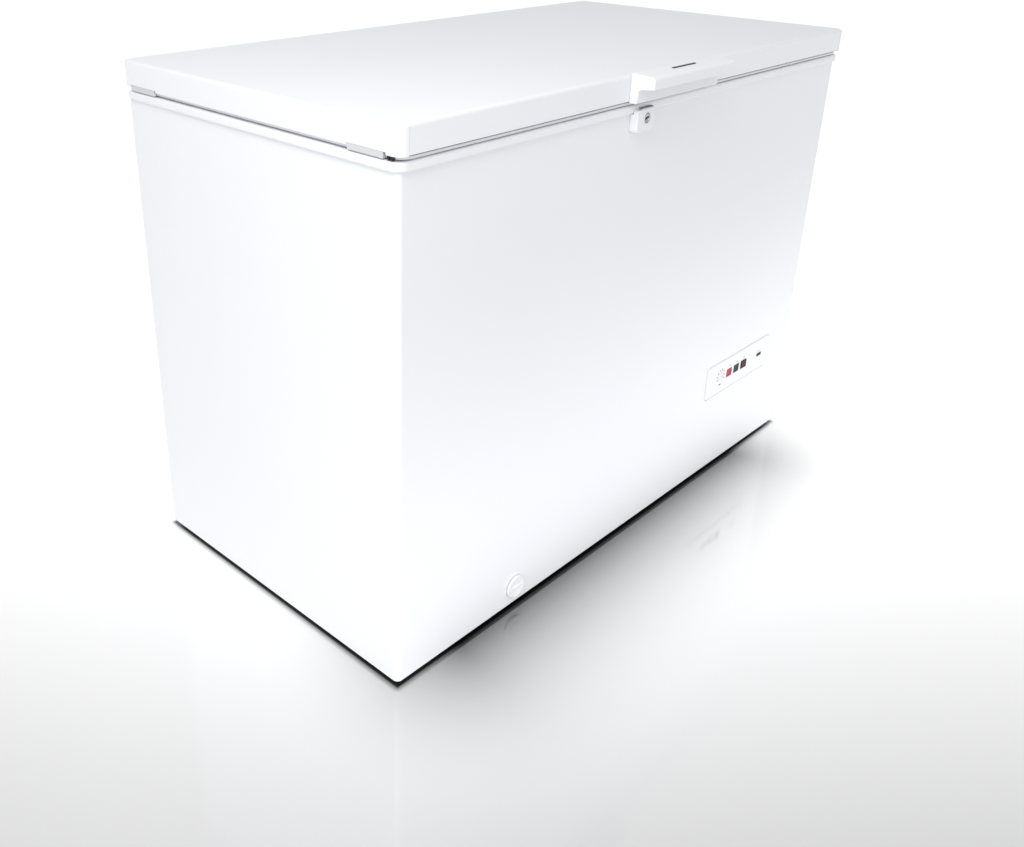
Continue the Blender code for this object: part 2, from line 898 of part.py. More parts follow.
def thermostat_dial():
    """Coin-slotted disc on its shaft."""
    r = DIAL_RADIUS
    front = 0.0042
    profile = [(0.0, front), (r - 0.001, front), (r, front - 0.001), (r, -0.002), (0.003, -0.002)]
    profile += [(0.003, -0.019), (0.0, -0.019)]
    centre = (DIAL_CENTRE[0], FRONT, DIAL_CENTRE[1])
    made = turned("thermostat_dial", profile, centre, white_plastic(), FACING_FRONT, 32)
    x, y, z = centre
    half = (0.0065, 0.0011)
    slot = cutter_box(
        "coin_slot", (x - half[0], y - 0.02, z - half[1]), (x + half[0], y - 0.0022, z + half[1])
    )
    cut(made, slot)
    return smooth(made)


def lens(name, index, finish, depth, proud):
    x = LENS_X[index]
    half_x, half_z = LENS_HALF
    face = FRONT - PANEL_PROUD - proud
    low = (x - half_x, face, LENS_Z - half_z)
    high = (x + half_x, face + depth, LENS_Z + half_z)
    made = box(name, low, high, finish)
    round_edges(made, 0.0009, 2)
    return smooth(made)


def panel_lenses():
    """Two lamp lenses, flush, and the fast-freeze button, which stands a little proud."""
    lens("red_alarm_lens", 0, red_lens(), 0.012, 0.0006)
    lens("green_power_lens", 1, green_lens(), 0.012, 0.0006)
    lens("fast_freeze_button", 2, amber_lens(), 0.015, 0.0022)


def panel_badge():
    """Plain dark plate where the panel carried a mark."""
    made = outline(
        "panel_badge",
        [rounded_rectangle(0.0085, 0.0032, 0.0012, 2)],
        0.0006,
        black_plastic(),
        (0.4625, FRONT - PANEL_PROUD - GAP - 0.0004, 0.2145),
        FACING_FRONT,
    )
    return made


# ---------------------------------------------------------------- drain
def drain_cap():
    """Round cap over the front outlet, with a stub in the pipe."""
    r = CAP_RADIUS
    profile = [(0.0, 0.0050), (r - 0.004, 0.0050), (r, 0.0030), (r, GAP), (0.0055, GAP)]
    profile += [(0.0050, -0.014), (0.0, -0.014)]
    centre = (DRAIN_X, FRONT, DRAIN_OUT_Z)
    return smooth(turned("drain_cap", profile, centre, white_plastic(), FACING_FRONT, 32))


def drain_plug():
    """Plug with a finger rib in the tub's floor."""
    profile = [(0.0, 0.004), (0.013, 0.004), (0.015, 0.002), (0.015, GAP), (0.0056, GAP)]
    profile += [(0.0052, -0.014), (0.0, -0.014)]
    centre = (DRAIN_X, CABINET_Y + DRAIN_Y, FLOOR_Z)
    made = turned("drain_plug", profile, centre, grey_plastic(), steps=28)
    x, y, z = centre
    half = (0.010, 0.0015)
    rib = cutter_box(
        "plug_rib", (x - half[0], y - half[1], z + 0.003), (x + half[0], y + half[1], z + 0.016)
    )
    join(made, rib)
    return smooth(made)


# ---------------------------------------------------------------- lid
def lid_block(name, inset, bottom, finish=None, into=None):
    """The lid's rounded block, shrunk by inset and cut off level at the bottom."""
    low = LID_BOTTOM - 0.02
    high = LID_TOP - inset
    made = outline(
        name,
        [rounded_rectangle(LID_HALF_WIDTH - inset, LID_HALF_DEPTH - inset, LID_RADIUS - inset, 5)],
        high - low,
        finish,
        (0, LID_Y, (high + low) / 2),
        into=into,
    )
    round_edges(made, LID_TOP_EDGE - inset, 3, 60)
    cut(made, cutter_box(f"{name}_below", (-1, -1, 0), (1, 1, bottom)))
    return made


def lid_shell():
    """Drawn tray: a top and four turned-down edges, the front one shorter between the trims."""
    made = lid_block("lid_shell", 0.0, LID_BOTTOM, white_steel())
    hollow = lid_block("lid_hollow", SHEET, 0.0, into=cutters)
    half = LID_HALF_WIDTH - LID_TRIM
    front = cutter_box(
        "front_edge",
        (-half, LID_FRONT - 0.01, LID_BOTTOM - 0.01),
        (half, LID_FRONT + SHEET + 0.001, LID_FRONT_BOTTOM),
    )
    cut(made, hollow, front, *insert_notches())
    return smooth(made, 30)


def insert_notches():
    """Windows in the lid's side edges, each a little longer than its insert."""
    notches = []
    for end, y in INSERT_ENDS.items():
        notches.append(
            cutter_box(
                f"insert_notch_{end}",
                (-1, y - NOTCH_LEAD, LID_BOTTOM - 0.01),
                (1, y + INSERT_LENGTH + GAP, INSERT_TOP + GAP),
            )
        )
    return notches


def lid_inserts():
    """Grey blocks in the lid's side edges that close the gap over the collar."""
    for side, sign in (("left", -1), ("right", 1)):
        for end, y in INSERT_ENDS.items():
            outer = sign * (LID_HALF_WIDTH - 0.0002)
            inner = outer - sign * INSERT_WIDTH
            made = box(
                f"lid_insert_{end}_{side}",
                (min(outer, inner), y, INSERT_BOTTOM),
                (max(outer, inner), y + INSERT_LENGTH, INSERT_TOP),
                grey_plastic(),
                0.0008,
            )
            smooth(made)


def insert_rooms():
    """Space for the four inserts, kept clear of the lid's core and inner panel."""
    rooms = []
    for end, y in INSERT_ENDS.items():
        for side, sign in (("left", -1), ("right", 1)):
            outer = sign * (LID_HALF_WIDTH + 0.01)
            inner = sign * (LID_HALF_WIDTH - INSERT_WIDTH - 0.0012)
            rooms.append(
                cutter_box(
                    f"insert_room_{end}_{side}",
                    (min(outer, inner), y - 0.006, LID_BOTTOM - 0.01),
                    (max(outer, inner), y + INSERT_LENGTH + 0.001, INSERT_TOP + 0.001),
                )
            )
    return rooms


def lid_core_parts():
    """The lid's foam core and its inner panel, which share the rooms cut in both."""
    rooms = insert_rooms()
    lid_foam(rooms)
    lid_inner_panel(rooms)


def lid_foam(rooms):
    """Foamed core between the lid's shell and its inner panel."""
    made = lid_block("lid_foam", SHEET + 0.0006, LID_BOTTOM + 0.0025, foam())
    cut(made, *rooms)
    return smooth(made)


def middle_face(shape):
    return min(shape.faces, key=lambda face: face.calc_center_median().length)


def lid_inner_panel(rooms):
    """White panel that closes the lid from below, drawn down into a shallow pan."""
    edge = 0.0058  # clears the shell's round corners
    slope = 0.012
    shape = bmesh.new()
    bmesh.ops.create_grid(shape, x_segments=1, y_segments=1, size=1.0)
    half = (LID_HALF_WIDTH - edge, LID_HALF_DEPTH - edge, 1)
    bmesh.ops.scale(shape, vec=half, verts=shape.verts)
    for thickness in (LID_PAN_INSET - edge, slope):
        bmesh.ops.inset_region(
            shape,
            faces=[middle_face(shape)],
            thickness=thickness,
            use_boundary=True,
            use_even_offset=True,
        )
    middle = middle_face(shape)
    bmesh.ops.translate(shape, vec=(0, 0, -LID_PAN_DEPTH), verts=middle.verts)
    bmesh.ops.reverse_faces(shape, faces=shape.faces)
    mesh = bpy.data.meshes.new("lid_inner_panel")
    shape.to_mesh(mesh)
    shape.free()
    made = place("lid_inner_panel", mesh, liner_plastic(), (0, LID_Y, LID_BOTTOM + GAP))
    round_edges(made, 0.005, 2, 20)
    thicken(made, PANEL_SHEET)
    half_x, half_y = LAMP_HALF
    window = cutter_box(
        "lamp_window",
        (-half_x - GAP, LID_Y - half_y - GAP, LID_BOTTOM - 0.05),
        (half_x + GAP, LID_Y + half_y + GAP, LID_BOTTOM),
    )
    cut(made, *rooms, window)
    return smooth(made)


def gasket():
    """Soft magnetic seal under the lid, all round."""
    low = COLLAR_TOP + GAP
    high = LID_BOTTOM
    front = FRONT - GASKET_FRONT
    back = BACK - GASKET_BACK
    half_x = WIDTH / 2 - GASKET_SIDE
    half_y = (back - front) / 2
    outer = rounded_rectangle(half_x, half_y, 0.020, 4)
    inner = rounded_rectangle(half_x - GASKET_WIDTH, half_y - GASKET_WIDTH, 0.008, 3)
    centre = (0, (front + back) / 2, (low + high) / 2)
    return smooth(outline("gasket", [outer, inner], high - low, grey_rubber(), centre))


def hood_top():
    """The back and front ends, as (y, z), of the handle's slightly sloping top."""
    back = (LID_FRONT - GAP - 0.002, HANDLE_TOP)
    front = (HANDLE_FRONT + HOOD_CORNER, HANDLE_TOP - HOOD_FALL)
    return back, front


def handle():
    """Hooked grip on the lid's front edge: a leg on the lid and a hood to pull up on."""
    back = LID_FRONT - GAP
    leg = LID_FRONT - LEG_DEPTH
    front = HANDLE_FRONT
    lip = 0.0018
    top_back, top_front = hood_top()
    profile = [(back, HANDLE_BOTTOM), (back, HANDLE_TOP - 0.002), top_back]
    profile += arc((top_front[0], top_front[1] - HOOD_CORNER), HOOD_CORNER, 90, 180, 4)
    profile += arc((front + lip, LIP_BOTTOM + lip), lip, 180, 270, 2)
    profile += [(leg - 0.004, HOOD_BOTTOM), (leg - 0.0006, HOOD_BOTTOM - 0.0025)]
    profile += [(leg, HANDLE_BOTTOM + 0.002), (leg + 0.002, HANDLE_BOTTOM)]
    profile.reverse()
    middle = (HANDLE_LEFT + HANDLE_RIGHT) / 2
    length = HANDLE_RIGHT - HANDLE_LEFT
    made = outline("handle", [profile], length, white_plastic(), (middle, 0, 0), SIDE_ON)
    round_edges(made, 0.0012, 2, 50)
    lifted = BOLT_TOP + BOLT_TRAVEL
    catch = cutter_box(
        "bolt_catch",
        (BOLT_X - BOLT_WIDTH / 2 - 0.001, BOLT_Y - BOLT_THICK / 2 - 0.001, 0.80),
        (BOLT_X + BOLT_WIDTH / 2 + 0.001, BOLT_Y + BOLT_THICK / 2 + 0.0003, lifted + 0.001),
    )
    cut(made, catch)
    return smooth(made)


def lid_badge():
    """Plain bar on top of the handle where it carried a mark."""
    thickness = 0.0006
    share = 0.45  # of the way from the hood's back to its front
    back, front = (Vector((0, *end)) for end in hood_top())
    middle = back.lerp(front, share)
    slope = math.atan2(back.z - front.z, back.y - front.y)
    made = outline(
        "lid_badge",
        [rounded_rectangle(0.032, 0.0022, 0.001, 2)],
        thickness,
        black_plastic(),
        ((HANDLE_LEFT + HANDLE_RIGHT) / 2, middle.y, middle.z + GAP + thickness / 2),
        (slope, 0, 0),
    )
    return made


def interior_lamp_lens():
    """Frosted cover of the lamp in the lid's pan."""
    half_x, half_y = LAMP_HALF
    low = LID_BOTTOM - LID_PAN_DEPTH - 0.0016
    made = box(
        "interior_lamp_lens",
        (-half_x, LID_Y - half_y, low),
        (half_x, LID_Y + half_y, low + 0.0105),
        clear_lens(),
        0.0012,
    )
    return smooth(made)


# ---------------------------------------------------------------- lock
def lock_housing():
    """Moulded housing on the front, stepped round the collar's lip."""
    made = outline(
        "lock_housing",
        [rounded_rectangle(*HOUSING_HALF, 0.004, 3)],
        HOUSING_PROUD - GAP,
        white_plastic(),
        (LOCK_X, FRONT - (HOUSING_PROUD + GAP) / 2, HOUSING_Z),
        FACING_FRONT,
    )
    round_edges(made, 0.0012, 2, 60)
    collar_room = cutter_box(
        "collar_room",
        (LOCK_X - 0.1, FRONT - COLLAR_PROUD - GAP, COLLAR_BOTTOM - GAP),
        (LOCK_X + 0.1, FRONT + 0.01, 0.9),
    )
    bolt_room = cutter_box(
        "bolt_room",
        (BOLT_X - BOLT_WIDTH / 2 - GAP, BOLT_Y - BOLT_THICK / 2 - GAP, BOLT_BOTTOM - GAP),
        (BOLT_X + BOLT_WIDTH / 2 + GAP, BOLT_Y + BOLT_THICK / 2 + GAP, 0.9),
    )
    barrel_room = cylinder(
        "barrel_room",
        (BARREL_X, FRONT - HOUSING_PROUD, LOCK_Z),
        BARREL_RADIUS + GAP,
        0.0040,
        None,
        "Y",
        32,
        cutters,
    )
    cut(made, collar_room, bolt_room, barrel_room)
    return smooth(made)


def key_barrel():
    """Steel key cylinder with its keyway."""
    y = FRONT - HOUSING_PROUD
    radius = BARREL_RADIUS
    profile = [(0.0, 0.0008), (radius - 0.0008, 0.0008), (radius, 0.0)]
    profile += [(radius, -0.0015), (0.0, -0.0015)]
    centre = (BARREL_X, y, LOCK_Z)
    made = turned("key_barrel", profile, centre, zinc_steel(), FACING_FRONT, 32)
    x, _, z = centre
    half = (0.0009, 0.0042)
    keyway = cutter_box(
        "keyway", (x - half[0], y - 0.01, z - half[1]), (x + half[0], y + 0.0002, z + half[1])
    )
    cut(made, keyway)
    return smooth(made)


def lock_bolt():
    """Flat steel bolt that the barrel lifts into the leg of the handle."""
    y = BOLT_Y
    made = box(
        "lock_bolt",
        (BOLT_X - BOLT_WIDTH / 2, y - BOLT_THICK / 2, BOLT_BOTTOM),
        (BOLT_X + BOLT_WIDTH / 2, y + BOLT_THICK / 2, BOLT_TOP),
        zinc_steel(),
        0.0006,
    )
    return made


# ---------------------------------------------------------------- hinges
def hinge_bracket(side, x):
    """Steel bracket on the cabinet's back: a plate with two ears that hold the pin."""
    plate_front = BACK + GAP
    plate = box(
        f"hinge_bracket_{side}",
        (x - HINGE_HALF, plate_front, 0.690),
        (x + HINGE_HALF, plate_front + 0.0025, 0.7990),
        zinc_steel(),
    )
    ears = []
    profile = [(plate_front + 0.001, 0.700), (PIN_Y + EAR_RADIUS, 0.770)]
    profile += arc((PIN_Y, PIN_Z), EAR_RADIUS, 0, 180, 8)
    profile += [(PIN_Y - EAR_RADIUS, 0.7995), (plate_front + 0.001, 0.7985)]
    for index, ear_x in enumerate((x - HINGE_HALF + EAR / 2, x + HINGE_HALF - EAR / 2)):
        name = f"bracket_ear_{side}_{index}"
        ears.append(outline(name, [profile], EAR, None, (ear_x, 0, 0), SIDE_ON, cutters))
    join(plate, *ears)
    cut(plate, pin_hole(side, x))
    return smooth(plate)


def hinge_leaf(side, x):
    """Steel leaf on the lid's back edge, with two ears between the bracket's."""
    face = LID_BACK + GAP
    plate = box(
        f"hinge_leaf_{side}",
        (x - 0.034, face, LID_BOTTOM + 0.004),
        (x + 0.034, face + 0.0025, LID_TOP - 0.010),
        zinc_steel(),
    )
    radius = LEAF_EAR_RADIUS
    profile = [(face + 0.001, LID_TOP - 0.014), (face + 0.001, LID_BOTTOM + 0.006)]
    profile += arc((PIN_Y, PIN_Z), radius, 180, 360, 8)
    profile += [(PIN_Y + radius, LID_BOTTOM - 0.004)]
    ears = []
    for index, ear_x in enumerate((x - 0.0325, x + 0.0325)):
        name = f"leaf_ear_{side}_{index}"
        ears.append(outline(name, [profile], EAR, None, (ear_x, 0, 0), SIDE_ON, cutters))
    join(plate, *ears)
    cut(plate, pin_hole(side, x))
    return smooth(plate)


def pin_hole(side, x):
    name = f"pin_hole_{side}_{len(cutters.objects)}"
    return cylinder(name, (x, PIN_Y, PIN_Z), HOLE_RADIUS, 0.12, None, "X", 24, cutters)


def hinge_pin(side, x):
    """Turned pin with a head at the outer end."""
    half = HINGE_HALF + 0.003
    r = PIN_RADIUS
    head = 0.007
    under = half - 0.0027 + GAP
    profile = [(0.0, half + 0.0025), (head, half + 0.0025), (head, under), (r, under)]
    profile += [(r, -half), (0.0, -half)]
    turn = Euler((0, math.pi / 2, 0))
    return smooth(turned(f"hinge_pin_{side}", profile, (x, PIN_Y, PIN_Z), zinc_steel(), turn, 20))


def hinge_spring(side, x):
    """Counterbalance spring coiled on the pin, its tail resting on the bracket."""
    wire = 0.0012
    radius = 0.0068
    turns = 8
    steps = 9
    half = 0.024
    points = []
    for index in range(turns * steps + 1):
        angle = 2 * math.pi * index / steps
        along = x - half + 2 * half * index / (turns * steps)
        points.append((along, PIN_Y - radius * math.sin(angle), PIN_Z - radius * math.cos(angle)))
    return tube(f"hinge_spring_{side}", points, wire, zinc_steel(), 1)


def hinges():
    for side, x in (("left", -HINGE_X), ("right", HINGE_X)):
        hinge_bracket(side, x)
        hinge_leaf(side, x)
        hinge_pin(side, x)
        hinge_spring(side, x)


# ---------------------------------------------------------------- basket
def basket():
    """Plain open tub with the basket's outer shape, hung by its rim on the collar's rebate."""
    rim_z = COLLAR_TOP - LEDGE_DEPTH + GAP
    wall = 0.003
    half_y = IN_Y - 0.008
    low = (BASKET_LEFT, CABINET_Y - half_y, BASKET_BOTTOM)
    high = (BASKET_RIGHT, CABINET_Y + half_y, rim_z + 0.003)
    made = box("basket", low, high, white_plastic())
    rim = box(
        "basket_rim",
        (BASKET_LEFT, CABINET_Y - IN_Y - LEDGE_WIDTH + 0.002, rim_z),
        (BASKET_RIGHT, CABINET_Y + IN_Y + LEDGE_WIDTH - 0.002, rim_z + 0.003),
        None,
        into=cutters,
    )
    join(made, rim)
    hollow = cutter_box(
        "basket_hollow",
        (low[0] + wall, low[1] + wall, low[2] + wall),
        (high[0] - wall, high[1] - wall, 1),
    )
    cut(made, hollow)
    return made


# ---------------------------------------------------------------- assembly
def main():
    for old in list(bpy.data.objects):
        bpy.data.objects.remove(old)
    bpy.context.scene.collection.children.link(parts)
    bpy.context.scene.collection.children.link(cutters)
    cabinet_wrap()
    back_panel()
    base_pan()
    feet()
    inner_liner()
    insulation_foam()
    top_collar()
    evaporator_coil()
    condenser_coil()
    compressor()
    compressor_tray()
    compressor_mounts()
    start_relay()
    filter_drier()
    refrigerant_tubes()
    vent_grille()
    rear_cover()
    mains_inlet_gland()
    control_panel()
    control_box()
    thermostat_body()
    thermostat_dial()
    panel_lenses()
    panel_badge()
    drain_tube()
    drain_cap()
    drain_plug()
    lid_shell()
    lid_inserts()
    lid_core_parts()
    gasket()
    handle()
    lid_badge()
    interior_lamp_lens()
    lock_housing()
    key_barrel()
    lock_bolt()
    hinges()
    basket()


main()
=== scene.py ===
# %% [markdown]
# # A white chest freezer
# The frame below is the freezer's plain model, in metres, with its moving bodies.
# Each piece made here rides one of its bodies, so it moves with it, and most stand in for one of its
# nodes.

import json
import math

import bmesh
import bpy
from mathutils import Matrix, Vector


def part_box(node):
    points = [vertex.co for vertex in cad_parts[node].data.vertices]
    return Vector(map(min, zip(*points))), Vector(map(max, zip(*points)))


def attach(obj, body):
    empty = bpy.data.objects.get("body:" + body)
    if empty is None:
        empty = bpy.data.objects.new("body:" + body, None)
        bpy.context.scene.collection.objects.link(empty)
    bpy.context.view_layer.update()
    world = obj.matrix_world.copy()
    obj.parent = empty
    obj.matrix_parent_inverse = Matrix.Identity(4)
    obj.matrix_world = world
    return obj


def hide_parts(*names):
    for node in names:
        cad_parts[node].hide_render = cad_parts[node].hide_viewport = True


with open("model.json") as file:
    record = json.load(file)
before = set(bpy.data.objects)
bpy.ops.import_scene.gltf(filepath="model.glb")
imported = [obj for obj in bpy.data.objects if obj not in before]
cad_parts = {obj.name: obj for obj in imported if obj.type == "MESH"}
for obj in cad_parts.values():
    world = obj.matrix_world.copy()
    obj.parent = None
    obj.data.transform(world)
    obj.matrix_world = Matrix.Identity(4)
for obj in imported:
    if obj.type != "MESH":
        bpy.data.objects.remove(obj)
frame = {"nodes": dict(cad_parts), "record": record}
BODY_OF = {
    node: body
    for body, nodes in frame["record"]["behaviour"]["bodies"].items()
    for node in nodes
}
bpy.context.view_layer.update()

# %% [markdown]
# ## Helpers for shader and geometry nodes
# A colour is written as the hex code that a colour picker shows, and Blender wants it linear.
# One function adds a node with its settings and its links, for both kinds of tree.


# %%
def linear(code):
    """The linear colour of an sRGB hex code such as "F2F3F5"."""
    shares = [int(code[at : at + 2], 16) / 255 for at in (0, 2, 4)]
    return [s / 12.92 if s <= 0.04045 else ((s + 0.055) / 1.055) ** 2.4 for s in shares] + [1.0]


def add(tree, kind, settings=None, inputs=None):
    """A new node; an input's value is a constant or the output socket that feeds it."""
    node = tree.nodes.new(kind)
    for key, value in (settings or {}).items():
        setattr(node, key, value)
    for key, value in (inputs or {}).items():
        if isinstance(value, bpy.types.NodeSocket):
            tree.links.new(value, node.inputs[key])
        else:
            node.inputs[key].default_value = value
    return node


# %% [markdown]
# ## How a finish is made
# Paint, moulded plastic and plated steel are never one flat colour or perfectly smooth.
# Each finish drifts between two near shades over some centimetres, and its relief is a fine pattern
# whose size and height are the real ones, in metres, read from the object's own coordinates.

# %%
GRAINS = {
    "noise": ("ShaderNodeTexNoise", {}, (1, 1, 1)),
    "cells": ("ShaderNodeTexVoronoi", {"feature": "SMOOTH_F1"}, (1, 1, 1)),
    "flakes": ("ShaderNodeTexVoronoi", {"feature": "F1"}, (1, 1, 1)),
    "brushed": ("ShaderNodeTexNoise", {}, (0.04, 1, 1)),
}


def finish(name, shades, patch, rough, grain, size, height, **shader):
    """A finish: two shades, patch size, two roughnesses, and a relief of that size and height."""
    made = bpy.data.materials.new(name)
    made.use_nodes = True
    tree = made.node_tree
    surface = tree.nodes["Principled BSDF"]
    place = add(tree, "ShaderNodeTexCoord").outputs["Object"]
    drift = add(tree, "ShaderNodeTexNoise", {}, {"Vector": place, "Scale": 1 / patch, "Detail": 3.0})
    colour = {0: drift.outputs[0], 6: linear(shades[0]), 7: linear(shades[1])}
    mixed = add(tree, "ShaderNodeMix", {"data_type": "RGBA"}, colour)
    tree.links.new(mixed.outputs[2], surface.inputs["Base Color"])
    kind, settings, stretch = GRAINS[grain]
    spread = add(tree, "ShaderNodeMapping", {}, {"Vector": place, "Scale": stretch})
    pattern = add(tree, kind, settings, {"Vector": spread.outputs[0], "Scale": 1 / size})
    polish = {"Value": pattern.outputs[0], "To Min": rough[0], "To Max": rough[1]}
    tree.links.new(add(tree, "ShaderNodeMapRange", {}, polish).outputs[0], surface.inputs["Roughness"])
    relief = {"Height": pattern.outputs[0], "Distance": height, "Strength": 1.0}
    tree.links.new(add(tree, "ShaderNodeBump", {}, relief).outputs[0], surface.inputs["Normal"])
    for label, value in shader.items():
        surface.inputs[label.replace("_", " ")].default_value = value
    return made


# %% [markdown]
# ## The finishes
# The skin is powder-coated steel with a faint orange peel. Trim is moulded ABS with a spark-eroded
# grain. The liner is embossed sheet, and the hardware is zinc-plated or enamelled steel.

# %%
FINISHES = {
    "white_powder_coat": finish(
        "white_powder_coat", ("EFF1F5", "F2F4F7"), 0.30, (0.28, 0.36), "noise", 0.0016, 0.000004
    ),
    "white_abs": finish(
        "white_abs_moulding", ("F0F1F4", "F3F4F6"), 0.05, (0.34, 0.46), "noise", 0.0007, 0.000006
    ),
    "white_liner": finish(
        "embossed_white_liner", ("DFE1E4", "E6E8EA"), 0.12, (0.36, 0.48), "cells", 0.0045, 0.00012
    ),
    "grey_abs": finish(
        "pale_grey_abs_moulding", ("CDCFD2", "D6D8DA"), 0.03, (0.42, 0.58), "noise", 0.0006, 0.000015
    ),
    "black_plastic": finish(
        "black_abs_moulding", ("121314", "1B1C1E"), 0.02, (0.38, 0.55), "noise", 0.0006, 0.000015
    ),
    "gasket_rubber": finish(
        "grey_pvc_gasket", ("E0E1E5", "E9EAED"), 0.04, (0.50, 0.66), "noise", 0.0010, 0.000020
    ),
    # Painted shade: the mid-grey for the shade over the lock and under the panel's bezel.
    "grey_felt": finish(
        "grey_wool_felt", ("6E7078", "83858D"), 0.02, (0.85, 0.95), "noise", 0.0006, 0.000060
    ),
    "black_rubber": finish(
        "black_rubber", ("161616", "222223"), 0.02, (0.66, 0.85), "noise", 0.0008, 0.000030
    ),
    "zinc_steel": finish(
        "zinc_plated_steel", ("A9ACAE", "C3C5C6"), 0.02, (0.24, 0.42), "flakes", 0.006, 0.000008,
        Metallic=1.0,
    ),
    "spring_steel": finish(
        "oiled_spring_steel", ("55575A", "707276"), 0.01, (0.26, 0.40), "brushed", 0.0006, 0.000006,
        Metallic=1.0,
    ),
    "chrome_barrel": finish(
        "brushed_chrome_barrel", ("A6A7AA", "CBCCCE"), 0.004, (0.14, 0.26), "brushed", 0.0004,
        0.000006, Metallic=1.0,
    ),
    "black_enamel": finish(
        "black_enamel_steel", ("0E0E10", "17181A"), 0.04, (0.22, 0.34), "noise", 0.0020, 0.000012,
        Coat_Weight=0.4, Coat_Roughness=0.15,
    ),
    "copper": finish(
        "tarnished_copper_tube", ("9A5638", "C98463"), 0.012, (0.26, 0.46), "noise", 0.0030,
        0.000010, Metallic=1.0,
    ),
    "pu_foam": finish(
        "polyurethane_foam", ("D9BD7C", "E8D29A"), 0.03, (0.85, 0.95), "cells", 0.0012, 0.000400
    ),
    "coated_wire": finish(
        "white_coated_wire", ("E6E8EA", "F0F1F2"), 0.03, (0.22, 0.34), "noise", 0.0015, 0.000015
    ),
    "red_lens": finish(
        "red_lamp_lens", ("9E2233", "C23B4B"), 0.006, (0.20, 0.34), "cells", 0.0022, 0.000060,
        Specular_IOR_Level=0.25,
    ),
    "green_lens": finish(
        "green_lamp_lens", ("00261F", "0A4438"), 0.006, (0.20, 0.34), "cells", 0.0022, 0.000060,
        Specular_IOR_Level=0.15,
    ),
    "amber_lens": finish(
        "amber_button_lens", ("1C0D06", "4A230E"), 0.006, (0.20, 0.34), "cells", 0.0022, 0.000060,
        Specular_IOR_Level=0.15,
    ),
    "frosted_lens": finish(
        "frosted_lamp_cover", ("DDE2E6", "EDF0F2"), 0.02, (0.20, 0.34), "cells", 0.0030, 0.000080,
        Transmission_Weight=0.45, IOR=1.49,
    ),
    "mark_grey": finish(
        "printed_grey_mark", ("34363A", "4B4E53"), 0.004, (0.45, 0.60), "noise", 0.0004, 0.000002
    ),
}
SLOT_OF = {part["node"]: part["material_slot"] for part in frame["record"]["subparts"]}
for node, carried in frame["nodes"].items():
    carried.data.materials.clear()
    carried.data.materials.append(FINISHES[SLOT_OF[node]])
print(len(FINISHES), "finishes")

# %% [markdown]
# ## Modelling helpers
# Nearly every moulded or pressed piece here is a pile of rounded-rectangle loops, joined by quads.
# Cuts and rounded edges are modifiers, and the result is kept as a plain mesh with smooth normals.


# %%
def loop(half_x, half_y, radius, z, steps=6, centre=(0.0, 0.0)):
    """Points of a rounded rectangle at height z, anticlockwise."""
    radius = max(min(radius, half_x, half_y), 0.00005)
    points = []
    for quarter, (sx, sy) in enumerate(((1, 1), (-1, 1), (-1, -1), (1, -1))):
        for step in range(steps + 1):
            angle = math.radians(90 * (quarter + step / steps))
            x = centre[0] + sx * (half_x - radius) + radius * math.cos(angle)
            y = centre[1] + sy * (half_y - radius) + radius * math.sin(angle)
            points.append((x, y, z))
    return points


def loft(loops, ring=False):
    """A closed mesh through loops of equal length; a ring joins the last loop to the first."""
    shape = bmesh.new()
    rows = [[shape.verts.new(point) for point in points] for points in loops]
    pairs = list(zip(rows, rows[1:])) + ([(rows[-1], rows[0])] if ring else [])
    for below, above in pairs:
        for at in range(len(below)):
            after = (at + 1) % len(below)
            shape.faces.new((below[at], below[after], above[after], above[at]))
    if not ring:
        shape.faces.new(list(reversed(rows[0])))
        shape.faces.new(rows[-1])
    bmesh.ops.recalc_face_normals(shape, faces=shape.faces)
    return to_mesh(shape)


def to_mesh(shape):
    mesh = bpy.data.meshes.new("shape")
    shape.to_mesh(mesh)
    shape.free()
    return mesh


def block(low, high):
    """A plain box between two corners."""
    shape = bmesh.new()
    bmesh.ops.create_cube(shape, size=1.0)
    size = Vector(high) - Vector(low)
    for corner in shape.verts:
        corner.co = Vector(low) + Vector(part * (at + 0.5) for part, at in zip(size, corner.co))
    return to_mesh(shape)


def merged(meshes):
    """Several meshes as one."""
    shape = bmesh.new()
    for mesh in meshes:
        shape.from_mesh(mesh)
    return to_mesh(shape)


def temporary(mesh):
    made = bpy.data.objects.new("temporary", mesh)
    bpy.context.scene.collection.objects.link(made)
    return made


def worked(mesh, cuts=(), bevel=0.0, segments=3, angle=32.0):
    """The mesh after its cuts, rounded edges and weighted normals, as a plain mesh."""
    made = temporary(mesh)
    helpers = [temporary(cut) for cut in cuts]
    for helper in helpers:
        step = made.modifiers.new("cut", "BOOLEAN")
        step.object = helper
        step.solver = "EXACT"
    if bevel:
        step = made.modifiers.new("edge", "BEVEL")
        step.width = bevel
        step.segments = segments
        step.limit_method = "ANGLE"
        step.angle_limit = math.radians(angle)
    bpy.context.view_layer.update()
    graph = bpy.context.evaluated_depsgraph_get()
    shaped = bpy.data.meshes.new_from_object(made.evaluated_get(graph))
    for old in [made, *helpers]:
        bpy.data.objects.remove(old)
    return smoothed(shaped, angle)


def smoothed(mesh, angle=32.0):
    """Smooth shading that stays flat on flat faces and sharp on sharp edges."""
    mesh.shade_smooth()
    mesh.set_sharp_from_angle(angle=math.radians(angle))
    made = temporary(mesh)
    step = made.modifiers.new("normals", "WEIGHTED_NORMAL")
    step.keep_sharp = True
    step.weight = 100
    bpy.context.view_layer.update()
    graph = bpy.context.evaluated_depsgraph_get()
    shaped = bpy.data.meshes.new_from_object(made.evaluated_get(graph))
    bpy.data.objects.remove(made)
    return shaped


def turn(mesh, matrix):
    mesh.transform(matrix)
    return mesh


